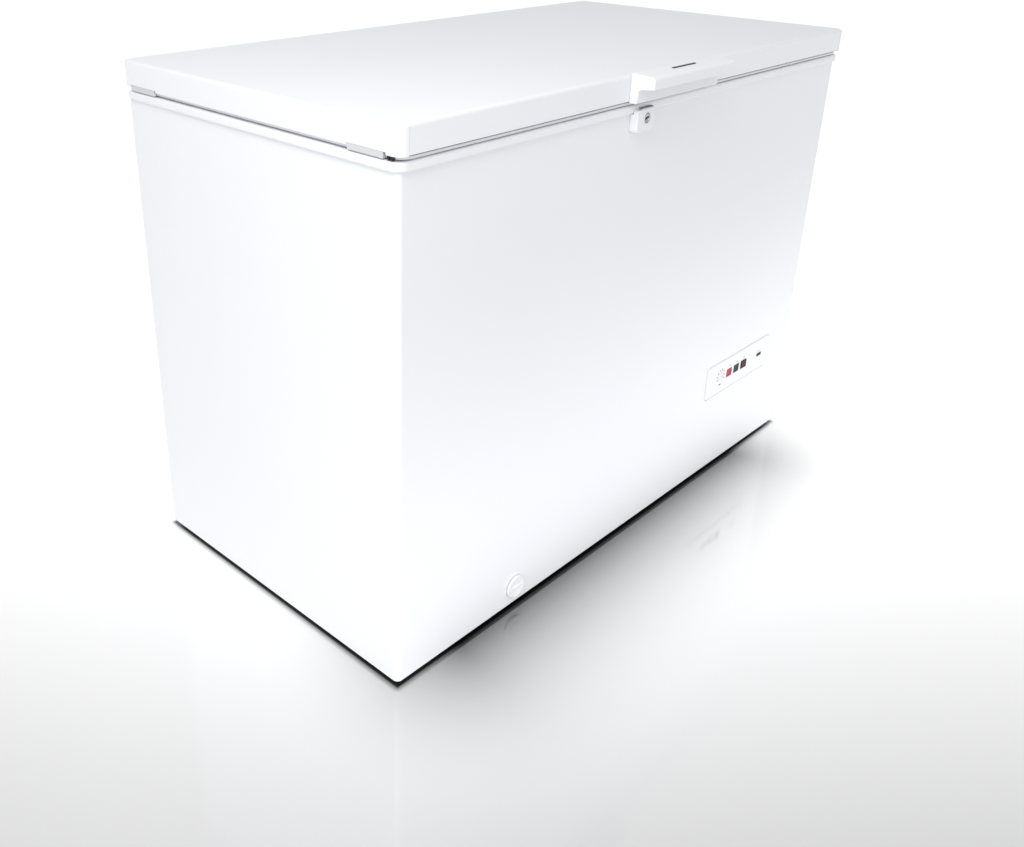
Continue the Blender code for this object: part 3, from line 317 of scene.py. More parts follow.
def piece(name, mesh, surface, body, *nodes):
    """A finished piece: its material, its body, and the nodes that it stands for."""
    mesh.name = name
    mesh.materials.clear()
    mesh.materials.append(FINISHES[surface])
    made = bpy.data.objects.new(name, mesh)
    bpy.context.scene.collection.objects.link(made)
    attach(made, body)
    if nodes:
        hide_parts(*nodes)
    print(name, len(mesh.polygons), "faces")
    return made


def welded(node):
    """A merged copy of a node's mesh, which has loose triangles."""
    shape = bmesh.new()
    shape.from_mesh(frame["nodes"][node].data)
    bmesh.ops.remove_doubles(shape, verts=shape.verts, dist=0.00001)
    flat = math.radians(0.5)
    bmesh.ops.dissolve_limit(shape, angle_limit=flat, verts=shape.verts, edges=shape.edges)
    return to_mesh(shape)


def carry(node, bevel=0.0, angle=32.0):
    """The node itself, welded, with its edges softened."""
    mesh = worked(welded(node), (), bevel, 2, angle)
    return piece(f"{node}_finished", mesh, SLOT_OF[node], BODY_OF[node], node)


# %% [markdown]
# ## Pieces kept as they are modelled
# Hidden or simple parts need no new shape, only softened edges and smooth normals.
# The rounded edges catch thin highlights, which is what tells the eye a part is pressed or moulded.

# %%
SOFT_EDGES = {
    "cabinet_wrap": 0.0, "back_panel": 0.0003, "base_pan": 0.0003, "inner_liner": 0.0,
    "insulation_foam": 0.0, "evaporator_coil": 0.0, "condenser_coil": 0.0, "compressor": 0.0,
    "compressor_tray": 0.0004, "start_relay": 0.0, "filter_drier": 0.0, "suction_tube": 0.0,
    "discharge_tube": 0.0, "mains_inlet_gland": 0.0, "control_box": 0.0004, "thermostat_body": 0.0,
    "drain_tube": 0.0, "drain_plug": 0.0006, "lid_foam": 0.0, "lid_inner_panel": 0.0,
    "lid_insert_front_left": 0.0, "lid_insert_front_right": 0.0, "lid_insert_back_left": 0.0,
    "lid_insert_back_right": 0.0, "interior_lamp_lens": 0.0, "lock_bolt": 0.0,
    "hinge_bracket_left": 0.0005, "hinge_bracket_right": 0.0005, "hinge_leaf_left": 0.0005,
    "hinge_leaf_right": 0.0005, "hinge_pin_left": 0.0, "hinge_pin_right": 0.0,
}
for node, bevel in SOFT_EDGES.items():
    carry(node, bevel)
for end in ("front", "back"):
    for side in ("left", "right"):
        carry(f"foot_{end}_{side}")
        carry(f"compressor_mount_{end}_{side}")

# %% [markdown]
# ## The lid's shell
# The lid is a sheet-steel tray: a flat top, a tight rolled edge, and skirts hemmed at the bottom.
# A pile of loops from the hem up to the top gives one even highlight all the way round. At the ends
# a trim wraps the corner, so the front sheet stops short of it at a fine upright joint. A grey
# strip closes the front edge under the hem, which keeps the foam out of sight when the lid is up.

# %%
lid_low, lid_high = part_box("lid_shell")
lid_centre = (lid_low + lid_high) / 2
lid_half = (lid_high - lid_low) / 2
SHEET = 0.0012
LID_EDGE = 0.005
LID_CORNER = 0.015
TRIM = 0.016
FRONT_HEM = 0.8265
JOINT_HALF = 0.0009
JOINT_DEPTH = 0.0010


def lid_loop(inset, z):
    return loop(
        lid_half.x - inset, lid_half.y - inset, LID_CORNER - inset, z, 8, (lid_centre.x, lid_centre.y)
    )


def rolled_edge(radius, top, inset, steps=8):
    """Loops over a rounded edge, from the skirt to the flat top."""
    loops = []
    for step in range(steps + 1):
        angle = math.radians(90 * step / steps)
        inward = radius * (1 - math.cos(angle))
        loops.append(lid_loop(inset + inward, top - radius * (1 - math.sin(angle))))
    return loops


HEM = 0.0060
mould = [(HEM, lid_low.z + SHEET), (HEM, lid_low.z), (0.0008, lid_low.z), (0.0, lid_low.z + 0.0008)]
loops = rolled_edge(LID_EDGE - SHEET, lid_high.z - SHEET, SHEET)[::-1]
loops += [lid_loop(SHEET, lid_low.z + SHEET)] + [lid_loop(*at) for at in mould]
loops += rolled_edge(LID_EDGE, lid_high.z, 0.0)
notches = []
for end in ("front", "back"):
    low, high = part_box(f"lid_insert_{end}_left")
    notches.append(block((-1, low.y - 0.0055, 0.8), (1, high.y + 0.0003, high.z + 0.0003)))
reach = lid_half.x - TRIM
notches.append(block((-reach, lid_low.y - 1, 0.8), (reach, lid_low.y + 0.004, FRONT_HEM)))
for x in (-reach, reach):
    far = (x + JOINT_HALF, lid_low.y + JOINT_DEPTH, lid_high.z - LID_EDGE)
    notches.append(block((x - JOINT_HALF, lid_low.y - 1, 0.8), far))
piece("lid_steel_shell", worked(loft(loops), notches), "white_powder_coat", "lid", "lid_shell")
near = (0.0003 - reach, lid_low.y + 0.0011, lid_low.z + 0.0020)
strip = block(near, (reach - 0.0003, lid_low.y + 0.0045, FRONT_HEM + 0.0010))
piece("front_edge_strip", smoothed(strip), "grey_abs", "lid")

# %% [markdown]
# ## Collar and gasket
# The collar is a moulded frame with edges rounded by a few millimetres, so it reads as a soft band.
# The gasket is an extruded bellows: its folds are what make the dark lines under the lid. Two black
# studs stand ahead of each front insert, on the corner of the lid.


# %%
def rows_of(node, section, corners):
    """Loops of a frame's section, given as (inset, z, corner radius) from the node's sides."""
    low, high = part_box(node)
    centre = (low + high) / 2
    half = (high - low) / 2
    rows = []
    for inset, z, radius in section:
        rows.append(loop(half.x - inset, half.y - inset, radius, z, corners, (centre.x, centre.y)))
    return rows


def quarter(inset, z, radius, start, corner, steps=5):
    """A quarter circle of a section about (inset, z), turning from the angle start."""
    points = []
    for step in range(steps + 1):
        angle = math.radians(start + 90 * step / steps)
        out = inset - radius * math.cos(angle)
        points.append((out, z + radius * math.sin(angle), corner - out))
    return points


low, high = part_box("top_collar")
EDGE = 0.0038
section = quarter(EDGE, low.z + EDGE, EDGE, -90, 0.0185)
section += quarter(EDGE, high.z - EDGE, EDGE, 0, 0.0185)
rows = rows_of("top_collar", section, 8)
section = [(0.0440, high.z, 0.022), (0.0455, high.z - 0.0010, 0.0205)]
section += [(0.0460, high.z - 0.0095, 0.020), (0.0465, high.z - 0.0100, 0.020)]
section += [(0.0610, high.z - 0.0100, 0.018), (0.0620, high.z - 0.0110, 0.018)]
section += [(0.0620, low.z, 0.018)]
rows += rows_of("cabinet_wrap", section, 8)
piece("collar_frame", smoothed(loft(rows, ring=True)), "white_abs", "cabinet", "top_collar")

low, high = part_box("gasket")
section = [(0.0045, high.z, 0.016), (0.0045, high.z - 0.0012, 0.016), (0.0, high.z - 0.0014, 0.020)]
section += [(0.0, low.z + 0.0024, 0.020), (0.0004, low.z + 0.0018, 0.0195)]
section += [(0.0055, low.z + 0.0016, 0.015), (0.0060, low.z, 0.015)]
section += [(0.0154, low.z, 0.008), (0.0160, low.z + 0.0018, 0.008)]
section += [(0.0136, low.z + 0.0026, 0.009), (0.0136, high.z - 0.0022, 0.009)]
section += [(0.0160, high.z - 0.0012, 0.008), (0.0158, high.z, 0.008)]
bellows = loft(rows_of("gasket", section, 6), ring=True)
piece("gasket_bellows", smoothed(bellows), "gasket_rubber", "lid", "gasket")

STUD_HALF = (0.0024, 0.0020)
STUD_BOTTOM = 0.8187
studs = []
for side, inward in (("left", 0.0022), ("right", -0.0022)):
    low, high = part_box(f"lid_insert_front_{side}")
    x = (low.x + high.x) / 2 + inward
    for ahead in (0.0068, 0.0128):
        y = low.y - ahead
        near = (x - STUD_HALF[0], y - STUD_HALF[1], STUD_BOTTOM)
        studs.append(block(near, (x + STUD_HALF[0], y + STUD_HALF[1], lid_low.z - 0.0002)))
studs = worked(merged(studs), (), 0.0004, 2)
piece("insert_studs", studs, "black_plastic", "lid")

# %% [markdown]
# ## The handle
# A moulded hook is screwed to the lid's front: a leg against the skirt and a hood to lift.
# It is hollow from below with ribs across, as a thick moulding would sink where it cools.

# %%
low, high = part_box("handle")
leg_front = lid_low.y - 0.014
hood_front = low.y
HOOD_FALL = 0.0022
HOOD_DEPTH = 0.0337


def arc(centre, radius, start, end, steps=6):
    angles = [math.radians(start + (end - start) * step / steps) for step in range(steps + 1)]
    return [(centre[0] + radius * math.cos(a), centre[1] + radius * math.sin(a)) for a in angles]


outline = [(high.y, low.z), (high.y, high.z - 0.0020), (high.y - 0.0020, high.z)]
outline += arc((hood_front + 0.006, high.z - HOOD_FALL - 0.006), 0.006, 90, 180)
outline += arc((hood_front + 0.0018, 0.8498), 0.0018, 180, 270, 4)
outline += [(leg_front - 0.0040, 0.8455), (leg_front - 0.0006, 0.8430)]
outline += [(leg_front, low.z + 0.0020), (leg_front + 0.0020, low.z)]


def extruded(points, start, end):
    """A (y, z) outline carried along x from start to end."""
    return loft([[(x, y, z) for y, z in points] for x in (start, end)])


BAYS = 5
bay = (high.x - low.x - 0.008) / BAYS
hollows = []
for at in range(BAYS):
    left = low.x + 0.004 + bay * at + 0.001
    near = (left, hood_front + 0.0060, 0.83)
    hollows.append(block(near, (left + bay - 0.002, leg_front - 0.006, high.z - 0.0065)))
bolt_low, bolt_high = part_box("lock_bolt")
catch_low = (bolt_low.x - 0.001, bolt_low.y - 0.001, 0.8)
hollows.append(block(catch_low, (bolt_high.x + 0.001, bolt_high.y + 0.0003, bolt_high.z + 0.019)))
grip = worked(extruded(outline, low.x, high.x), hollows, 0.0012, 4, 40)
piece("handle_moulding", grip, "white_abs", "lid", "handle")

# %% [markdown]
# ## Things that repeat
# Two Geometry Nodes trees do the repeating. One sets copies of a small shape in columns and rows.
# The other gives a path its round wire and repeats it, which makes the basket and the springs.


# %%
def new_tree(name, inputs):
    """A geometry tree with named inputs and a geometry output; returns it with its input node."""
    tree = bpy.data.node_groups.new(name, "GeometryNodeTree")
    for label, kind in inputs.items():
        tree.interface.new_socket(label, in_out="INPUT", socket_type=f"NodeSocket{kind}")
    tree.interface.new_socket("Geometry", in_out="OUTPUT", socket_type="NodeSocketGeometry")
    return tree, add(tree, "NodeGroupInput").outputs


def close_tree(tree, geometry, surface):
    """Ends a tree: real geometry, with its material, to the output."""
    real = add(tree, "GeometryNodeRealizeInstances", {}, {"Geometry": geometry}).outputs[0]
    painted = add(tree, "GeometryNodeSetMaterial", {}, {"Geometry": real, "Material": surface})
    add(tree, "NodeGroupOutput", {}, {"Geometry": painted.outputs[0]})


def line_of_points(tree, count, step):
    """Points one step apart, starting at the origin."""
    return add(tree, "GeometryNodeMeshLine", {}, {"Count": count, "Offset": step}).outputs[0]


GRID_INPUTS = {
    "Shape": "Geometry", "Columns": "Int", "Column Step": "Vector", "Rows": "Int",
    "Row Step": "Vector", "Finish": "Material",
}
grid_tree, given = new_tree("columns_and_rows", GRID_INPUTS)
columns = line_of_points(grid_tree, given["Columns"], given["Column Step"])
rows = line_of_points(grid_tree, given["Rows"], given["Row Step"])
places = {"Points": columns, "Instance": rows}
lines = add(grid_tree, "GeometryNodeInstanceOnPoints", {}, places).outputs[0]
points = add(grid_tree, "GeometryNodeRealizeInstances", {}, {"Geometry": lines}).outputs[0]
copies = {"Points": points, "Instance": given["Shape"]}
close_tree(
    grid_tree, add(grid_tree, "GeometryNodeInstanceOnPoints", {}, copies).outputs[0], given["Finish"]
)

WIRE_INPUTS = {
    "Path": "Geometry", "Radius": "Float", "Bend": "Float", "Count": "Int", "Step": "Vector",
    "Finish": "Material",
}
wire_tree, given = new_tree("repeated_wire", WIRE_INPUTS)
path = add(wire_tree, "GeometryNodeMeshToCurve", {}, {"Mesh": given["Path"]}).outputs[0]
bend = {"Curve": path, "Radius": given["Bend"], "Count": 4, "Limit Radius": True}
bent = add(wire_tree, "GeometryNodeFilletCurve", {"mode": "POLY"}, bend).outputs[0]
ring = {"Radius": given["Radius"], "Resolution": 8}
ring = add(wire_tree, "GeometryNodeCurvePrimitiveCircle", {}, ring).outputs[0]
sweep = {"Curve": bent, "Profile Curve": ring, "Fill Caps": True}
wire = add(wire_tree, "GeometryNodeCurveToMesh", {}, sweep).outputs[0]
points = line_of_points(wire_tree, given["Count"], given["Step"])
copies = {"Points": points, "Instance": wire}
close_tree(
    wire_tree, add(wire_tree, "GeometryNodeInstanceOnPoints", {}, copies).outputs[0], given["Finish"]
)


def grown(tree, base, **values):
    """The plain mesh that a tree makes from a base mesh and these input values."""
    made = temporary(base)
    step = made.modifiers.new("tree", "NODES")
    step.node_group = tree
    for item in tree.interface.items_tree:
        label = item.name.replace(" ", "_")
        if label in values:
            step[item.identifier] = values[label]
    bpy.context.view_layer.update()
    graph = bpy.context.evaluated_depsgraph_get()
    mesh = bpy.data.meshes.new_from_object(made.evaluated_get(graph))
    bpy.data.objects.remove(made)
    return mesh


def grid(base, surface, columns, column_step, rows=1, row_step=(0, 0, 0)):
    return grown(
        grid_tree, base, Columns=columns, Column_Step=column_step, Rows=rows, Row_Step=row_step,
        Finish=FINISHES[surface],
    )


def polyline(points, closed=False):
    shape = bmesh.new()
    corners = [shape.verts.new(point) for point in points]
    for first, second in zip(corners, corners[1:] + corners[:1] if closed else corners[1:]):
        shape.edges.new((first, second))
    return to_mesh(shape)


def wires(points, surface, radius, bend=0.0, count=1, step=(0, 0, 0), closed=False):
    return grown(
        wire_tree, polyline(points, closed), Radius=radius, Bend=bend, Count=count, Step=step,
        Finish=FINISHES[surface],
    )


# %% [markdown]
# ## Screws
# Cross-headed screws hold the hinges, the rear cover and the grille, and black plugs hide the two
# in the handle. They are a few dozen faces each, as they only ever show as small discs.


# %%
def disc(radius, levels, sides=3):
    """A turned shape through (share of radius, height) levels, along its own Z."""
    rounds = [(radius * share, z) for share, z in levels]
    return loft([loop(r, r, r, z, sides) for r, z in rounds])


FRONTWARD = Matrix(((1, 0, 0, 0), (0, 0, -1, 0), (0, 1, 0, 0), (0, 0, 0, 1)))
BACKWARD = Matrix(((-1, 0, 0, 0), (0, 0, 1, 0), (0, 1, 0, 0), (0, 0, 0, 1)))
RIGHTWARD = Matrix(((0, 0, 1, 0), (1, 0, 0, 0), (0, 1, 0, 0), (0, 0, 0, 1)))


def screw(facing, at, radius=0.0038):
    head = disc(radius, [(1.0, 0.0), (1.0, 0.0008), (0.8, 0.0018), (0.4, 0.0023)])
    arms = []
    for x, y in ((radius * 0.55, radius * 0.12), (radius * 0.12, radius * 0.55)):
        arms.append(block((-x, -y, 0.0012), (x, y, 0.01)))
    return turn(worked(head, arms), Matrix.Translation(at) @ facing)


PLUG_X = (-0.0875, 0.0575)
plugs = []
for x in PLUG_X:
    place = Matrix.Translation((x, leg_front, 0.838)) @ FRONTWARD
    plugs.append(turn(disc(0.0015, [(1.0, -0.0010), (1.0, 0.0001), (0.8, 0.0002)]), place))
piece("handle_plugs", smoothed(merged(plugs)), "black_plastic", "lid")

for side in ("left", "right"):
    low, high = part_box(f"hinge_bracket_{side}")
    x = (low.x + high.x) / 2
    first = screw(BACKWARD, (x - 0.018, low.y + 0.0025, 0.710))
    mesh = grid(first, "zinc_steel", 2, (0.036, 0, 0), 3, (0, 0, 0.030))
    piece(f"hinge_bracket_screws_{side}", smoothed(mesh), "zinc_steel", "cabinet")
    low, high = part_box(f"hinge_leaf_{side}")
    first = screw(BACKWARD, (x - 0.018, low.y + 0.0028, 0.842))
    mesh = grid(first, "zinc_steel", 2, (0.036, 0, 0))
    piece(f"hinge_leaf_screws_{side}", smoothed(mesh), "zinc_steel", "lid")
    low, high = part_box(f"hinge_spring_{side}")
    centre = (low + high) / 2
    coils = 9
    steps = 16
    coil_radius = (high.z - low.z) / 2 - 0.0012
    reach = (high.x - low.x) / 2 - 0.0012
    helix = []
    for at in range(coils * steps + 1):
        angle = 2 * math.pi * at / steps
        x = centre.x - reach + 2 * reach * at / (coils * steps)
        y = centre.y - coil_radius * math.sin(angle)
        helix.append((x, y, centre.z - coil_radius * math.cos(angle)))
    mesh = smoothed(wires(helix, "spring_steel", 0.0011), 50)
    piece(f"hinge_coil_{side}", mesh, "spring_steel", "cabinet", f"hinge_spring_{side}")

# %% [markdown]
# ## The lock
# A moulded housing stands on the front under the handle, with the key cylinder in a raised ring.
# The cylinder's face is pale brushed metal, with black painted shade in the narrow gap round it and
# in its keyway, and a grey block of painted shade on top of the housing, where the handle shades it.


# %%
def on_front(node):
    """The centre and half sizes of a front fitting, and the place of its mounting plane."""
    low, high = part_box(node)
    centre = (low + high) / 2
    place = Matrix.Translation((centre.x, high.y, centre.z)) @ FRONTWARD
    return place, (high.x - low.x) / 2, (high.z - low.z) / 2, high.y - low.y


def plate(half_x, half_y, corner, levels, steps=6):
    """A moulded plate about its own Z axis through (inset, height) levels."""
    return loft([loop(half_x - d, half_y - d, corner - d, z, steps) for d, z in levels])


def crown(depth, radius, steps=5):
    """Levels of a rounded front edge that ends at this depth."""
    angles = [math.radians(90 * step / steps) for step in range(steps + 1)]
    return [(radius * (1 - math.cos(a)), depth - radius * (1 - math.sin(a))) for a in angles]


place, half_x, half_z, depth = on_front("lock_housing")
levels = [(0.0, 0.0)] + crown(depth, 0.0026)
housing = turn(plate(half_x, half_z, 0.006, levels, 8), place)
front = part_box("cabinet_wrap")[0].y
low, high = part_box("lock_bolt")
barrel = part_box("key_barrel")
barrel_x, barrel_z = (barrel[0].x + barrel[1].x) / 2, (barrel[0].z + barrel[1].z) / 2
barrel_place = Matrix.Translation((barrel_x, barrel[1].y, barrel_z)) @ FRONTWARD
cuts = [
    block((-1, front - 0.0058, 0.8037), (1, 0, 0.9)),
    block((low.x - 0.0003, low.y - 0.0003, 0.78), (high.x + 0.0003, high.y + 0.0003, 0.9)),
    turn(disc(0.0092, [(1, -0.001), (1, 0.01)], 10), barrel_place),
]
piece("lock_moulding", worked(housing, cuts), "white_abs", "cabinet", "lock_housing")


def turned_ring(rounds):
    """A ring whose section runs through (radius, height) points, set in the lock's face."""
    made = loft([loop(r, r, r, z, 10) for r, z in rounds], ring=True)
    return smoothed(turn(made, barrel_place))


rim = [(0.0080, 0.0), (0.0090, 0.0), (0.0090, 0.0020), (0.0087, 0.0023), (0.0083, 0.0023)]
rim += [(0.0080, 0.0018)]
piece("lock_ring", turned_ring(rim), "white_abs", "cabinet")
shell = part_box("lock_housing")
# Painted shade: a grey block on the housing's top, under the handle.
pad = block(
    (shell[0].x + 0.0030, shell[0].y + 0.0030, shell[1].z - 0.0002),
    (shell[1].x - 0.0030, front - 0.0060, shell[1].z + 0.0012),
)
bolt_way = block((low.x - 0.0010, low.y - 0.0010, 0.78), (high.x + 0.0010, 1, 0.9))
piece("bolt_dust_pad", smoothed(worked(pad, [bolt_way])), "grey_felt", "cabinet")
# Painted shade: a black ring at the bottom of the gap round the cylinder.
gap_shade_section = [(0.0073, 0.0), (0.0079, 0.0), (0.0079, 0.0010), (0.0073, 0.0010)]
piece("lock_seat", turned_ring(gap_shade_section), "black_plastic", "cabinet")
levels = [(1, 0.0), (1, 0.0016), (0.94, 0.0021), (0.86, 0.0021), (0.70, 0.0014), (0.30, 0.0010)]
face = disc(0.0070, levels, 10)
aslant = Matrix.Rotation(math.radians(20), 4, "Z")
keyway = turn(block((-0.0046, -0.0018, 0.0002), (0.0046, 0.0018, 0.01)), aslant)
face = turn(worked(face, [keyway]), barrel_place)
piece("key_cylinder", face, "chrome_barrel", "key", "key_barrel")
# Painted shade: a black floor inside the keyway.
keyway = turn(block((-0.0045, -0.0017, 0.0003), (0.0045, 0.0017, 0.0007)), barrel_place @ aslant)
piece("keyway_floor", smoothed(keyway), "black_plastic", "key")

# %% [markdown]
# ## The control panel
# A thin white bezel carries the thermostat's dial, two lamps and the fast-freeze button. The scale
# and pictures are pad-printed, so they are flakes of grey a tenth of a millimetre thick. A grey strip
# of painted shadow lies below the bezel, and plain bars take the places of the marks on the panel
# and the lid.

# %%
place, half_x, half_z, depth = on_front("control_panel")
bezel = plate(half_x, half_z, 0.008, [(0.0, 0.0)] + crown(depth, 0.0024), 8)
LAMPS = {
    "red_alarm_lens": "red_lens",
    "green_power_lens": "green_lens",
    "fast_freeze_button": "amber_lens",
}
LENS_PITCH = 0.0285
LENS_GAP = 0.0004
cuts = []
for node in LAMPS:
    low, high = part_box(node)
    near = (low.x - LENS_GAP, -1, low.z - LENS_GAP)
    cuts.append(block(near, (high.x + LENS_GAP, 1, high.z + LENS_GAP)))
low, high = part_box("thermostat_dial")
dial = Vector(((low.x + high.x) / 2, place.translation.y, (low.z + high.z) / 2))
dial_place = Matrix.Translation(dial) @ FRONTWARD
cuts.append(turn(disc(0.0089, [(1, -0.01), (1, 0.01)], 10), dial_place))
piece("panel_bezel", worked(turn(bezel, place), cuts), "white_abs", "cabinet", "control_panel")

for node, surface in LAMPS.items():
    at, half_x, half_z, depth = on_front(node)
    body = "freeze_button" if node == "fast_freeze_button" else "cabinet"
    levels = [(0.0, 0.0)] + crown(depth, 0.0014)
    levels += [(0.0030, depth - 0.0004), (0.0040, depth - 0.0010)]
    lens = plate(half_x, half_z, 0.0018, levels, 4)
    piece(f"{node}_moulding", smoothed(turn(lens, at)), surface, body, node)

levels = [(0.35, -0.019), (0.35, -0.002), (1, -0.002), (1, 0.0033), (0.93, 0.0042), (0.2, 0.0042)]
knob = disc(0.0085, levels, 12)
slot = [block((-0.0065, -0.0010, 0.0026), (0.0065, 0.0010, 0.01))]
knob = turn(worked(knob, slot), Matrix.Translation((0, front - dial.y, 0)) @ dial_place)
piece("dial_knob", knob, "white_abs", "dial", "thermostat_dial")

print_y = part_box("control_panel")[0].y


def printed(x, z, width, height):
    """A flake of ink on the bezel."""
    near = (x - width / 2, print_y - 0.0001, z - height / 2)
    return block(near, (x + width / 2, print_y + 0.0002, z + height / 2))


TICKS = 8
SCALE_START = -30
SCALE_SWEEP = 240
marks = []
for at in range(TICKS):
    angle = math.radians(SCALE_START + SCALE_SWEEP * at / (TICKS - 1))
    spoke = block((-0.0022, -0.0009, -0.0002), (0.0022, 0.0009, 0.0001))
    out = Matrix.Rotation(angle, 4, "Z") @ Matrix.Translation((0.0135, 0, 0))
    marks.append(turn(spoke, Matrix.Translation((dial.x, print_y, dial.z)) @ FRONTWARD @ out))
marks.append(printed(dial.x, dial.z - 0.0190, 0.0085, 0.0022))
low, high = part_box("red_alarm_lens")
top = high.z + 0.0060
middle = (low.x + high.x) / 2
for ink in (printed(middle, top, 0.0036, 0.0012), printed(middle, top + 0.0022, 0.0012, 0.0018)):
    marks.append(grid(ink, "mark_grey", len(LAMPS), (LENS_PITCH, 0, 0)))
low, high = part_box("panel_badge")
badge = (low + high) / 2
marks.append(printed(badge.x, badge.z + 0.0085, 0.0150, 0.0006))
piece("panel_print", merged(marks), "mark_grey", "cabinet")
# Painted shadow: a grey strip just below the bezel's lower edge.
low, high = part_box("control_panel")
near = (low.x + 0.006, front - 0.0012, low.z - 0.0011)
shadow_strip = block(near, (high.x - 0.006, front + 0.0002, low.z - 0.0001))
piece("panel_seam", smoothed(shadow_strip), "grey_felt", "cabinet")

place, half_x, half_z, depth = on_front("panel_badge")
levels = [(0.0, 0.0), (0.0, depth - 0.0002), (0.0002, depth)]
bar = smoothed(turn(plate(half_x, half_z, 0.0012, levels), place))
piece("panel_plate", bar, "black_plastic", "cabinet", "panel_badge")
low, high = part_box("lid_badge")
centre = (low + high) / 2
slope = math.atan2(HOOD_FALL, HOOD_DEPTH)
levels = [(0.0, -0.0003), (0.0, 0.0001), (0.0002, 0.0003)]
bar = plate((high.x - low.x) / 2, 0.0022, 0.0010, levels)
place = Matrix.Translation(centre) @ Matrix.Rotation(slope, 4, "X")
piece("lid_plate", smoothed(turn(bar, place)), "black_plastic", "lid", "lid_badge")

# %% [markdown]
# ## The drain cap
# A round cap with a raised rim and a finger bar closes the drain's outlet near the floor.

# %%
place, half_x, half_z, depth = on_front("drain_cap")
place.translation.y = front
levels = [(0.24, -0.014), (0.26, 0.0003), (1, 0.0003), (1, 0.0030), (0.97, 0.0044), (0.92, 0.0050)]
levels += [(0.84, 0.0050), (0.80, 0.0040), (0.30, 0.0036)]
cap = disc(half_x, levels, 12)
bar = block((-0.0135, -0.0017, 0.0020), (0.0135, 0.0017, 0.0049))
cap = merged([worked(cap), worked(bar, (), 0.0008, 3)])
piece("drain_cap_moulding", smoothed(turn(cap, place)), "white_abs", "drain_cap", "drain_cap")

# %% [markdown]
# ## Grille and rear cover
# Air for the compressor passes a moulded grille at the side and a louvred sheet at the back.
# The slats and louvres are one tilted strip each, repeated in rows over the plate's slots.


# %%
def tilted_strip(centre, half, angle, axis):
    strip = block([-part for part in half], half)
    turned = Matrix.Translation(centre) @ Matrix.Rotation(math.radians(angle), 4, axis)
    return turn(strip, turned)


low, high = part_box("vent_grille")
size = high - low
pitch = size.z / 9
first = low + Vector((0.0024, size.y / 4, pitch * 1.05))
strip = tilted_strip(first, (0.0021, size.y / 4 - 0.0095, 0.0006), 28, "Y")
slats = grid(strip, "white_abs", 2, (0, size.y / 2, 0), 8, (0, 0, pitch))
grille = worked(welded("vent_grille"), (), 0.0004, 2)
piece("side_grille", smoothed(merged([grille, slats])), "white_abs", "cabinet", "vent_grille")
first = screw(RIGHTWARD, (high.x - 0.0002, low.y + 0.005, low.z + 0.006), 0.0030)
mesh = grid(first, "zinc_steel", 2, (0, size.y - 0.010, 0), 2, (0, 0, size.z - 0.012))
piece("side_grille_screws", smoothed(mesh), "zinc_steel", "cabinet")

low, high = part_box("rear_cover")
size = high - low
pitch = size.z / 10
first = Vector((low.x + size.x / 4, high.y + 0.0010, low.z + pitch * 1.20))
strip = tilted_strip(first, (size.x / 4 - 0.0095, 0.0035, 0.0005), 32, "X")
hoods = grid(strip, "zinc_steel", 2, (size.x / 2, 0, 0), 9, (0, 0, pitch))
cover = worked(welded("rear_cover"), (), 0.0003, 2)
piece("rear_louvres", smoothed(merged([cover, hoods])), "zinc_steel", "cabinet", "rear_cover")
first = screw(BACKWARD, (low.x + 0.005, high.y, low.z + 0.006))
mesh = grid(first, "zinc_steel", 2, (size.x - 0.010, 0, 0), 3, (0, 0, (size.z - 0.012) / 2))
piece("rear_cover_screws", smoothed(mesh), "zinc_steel", "cabinet")

# %% [markdown]
# ## The basket
# The basket is welded from round steel wire and dipped in plastic. Bent wires repeat along and
# across it, hoops tie them, and two thicker rails rest on the collar's ledge.

# %%
low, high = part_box("basket")
WIRE = 0.0014
RAIL = 0.0015
inner = low.y + 0.020
outer = high.y - 0.020
rim_z = high.z - RAIL
floor_z = low.z + WIRE
left, right = low.x + WIRE, high.x - WIRE
across = [
    (left, low.y + RAIL, rim_z), (left, inner, rim_z), (left, inner, floor_z),
    (left, outer, floor_z), (left, outer, rim_z), (left, high.y - RAIL, rim_z),
]
count = 13
meshes = [wires(across, "coated_wire", WIRE, 0.006, count, ((right - left) / (count - 1), 0, 0))]
top_z = rim_z - 0.003
along = [(left, inner, top_z), (left, inner, floor_z), (right, inner, floor_z), (right, inner, top_z)]
count = 22
step = (0, (outer - inner) / (count - 1), 0)
meshes.append(wires(along, "coated_wire", WIRE, 0.006, count, step))


def around(near_y, far_y, z):
    """Corners of a level ring between the basket's ends."""
    return [(left, near_y, z), (right, near_y, z), (right, far_y, z), (left, far_y, z)]


hoop = around(inner, outer, floor_z + 0.045)
meshes.append(wires(hoop, "coated_wire", WIRE, 0.0, 3, (0, 0, 0.052), True))
rail = around(low.y + RAIL, high.y - RAIL, rim_z)
meshes.append(wires(rail, "coated_wire", RAIL, 0.0, 1, (0, 0, 0), True))
piece("wire_basket", smoothed(merged(meshes), 60), "coated_wire", "basket", "basket")

# %% [markdown]
# ## Floor, light and camera
# A pale, slightly glossy floor runs out to white, and a painted falloff in its colour darkens it a
# little towards the viewer, as a lit paper sweep does. Its soft shade in front of the cabinet and the
# dark line under it are painted shade, worked out from the cabinet's box and multiplied into the
# floor's colour, so the lights are free to fill the skin. They are soft boxes over the left shoulder,
# at the near corner and far in front, with a low strip along the front, and they keep the white skin
# just short of blank.


# %%
YAW = math.radians(45.360)
PITCH = math.radians(24.374)
ROLL = math.radians(0.528)
FLOOR_SIZE = 30
# The floor's colour carries a painted falloff along the view, and the SHADE and CONTACT values shape
# its painted shade.
FLOOR_NEAR, FLOOR_FAR = -0.93, -0.05  # along the view: where the floor is darkest, and palest
SHADE_LEFT, SHADE_RIGHT = 0.14, 0.20  # how far the soft shade stops short of the front's ends
SHADE_REACH, SHADE_DARKEST = 0.32, 0.04
CONTACT_INSET = 0.002
CONTACT_REACH, CONTACT_DARKEST = 0.010, 0.04


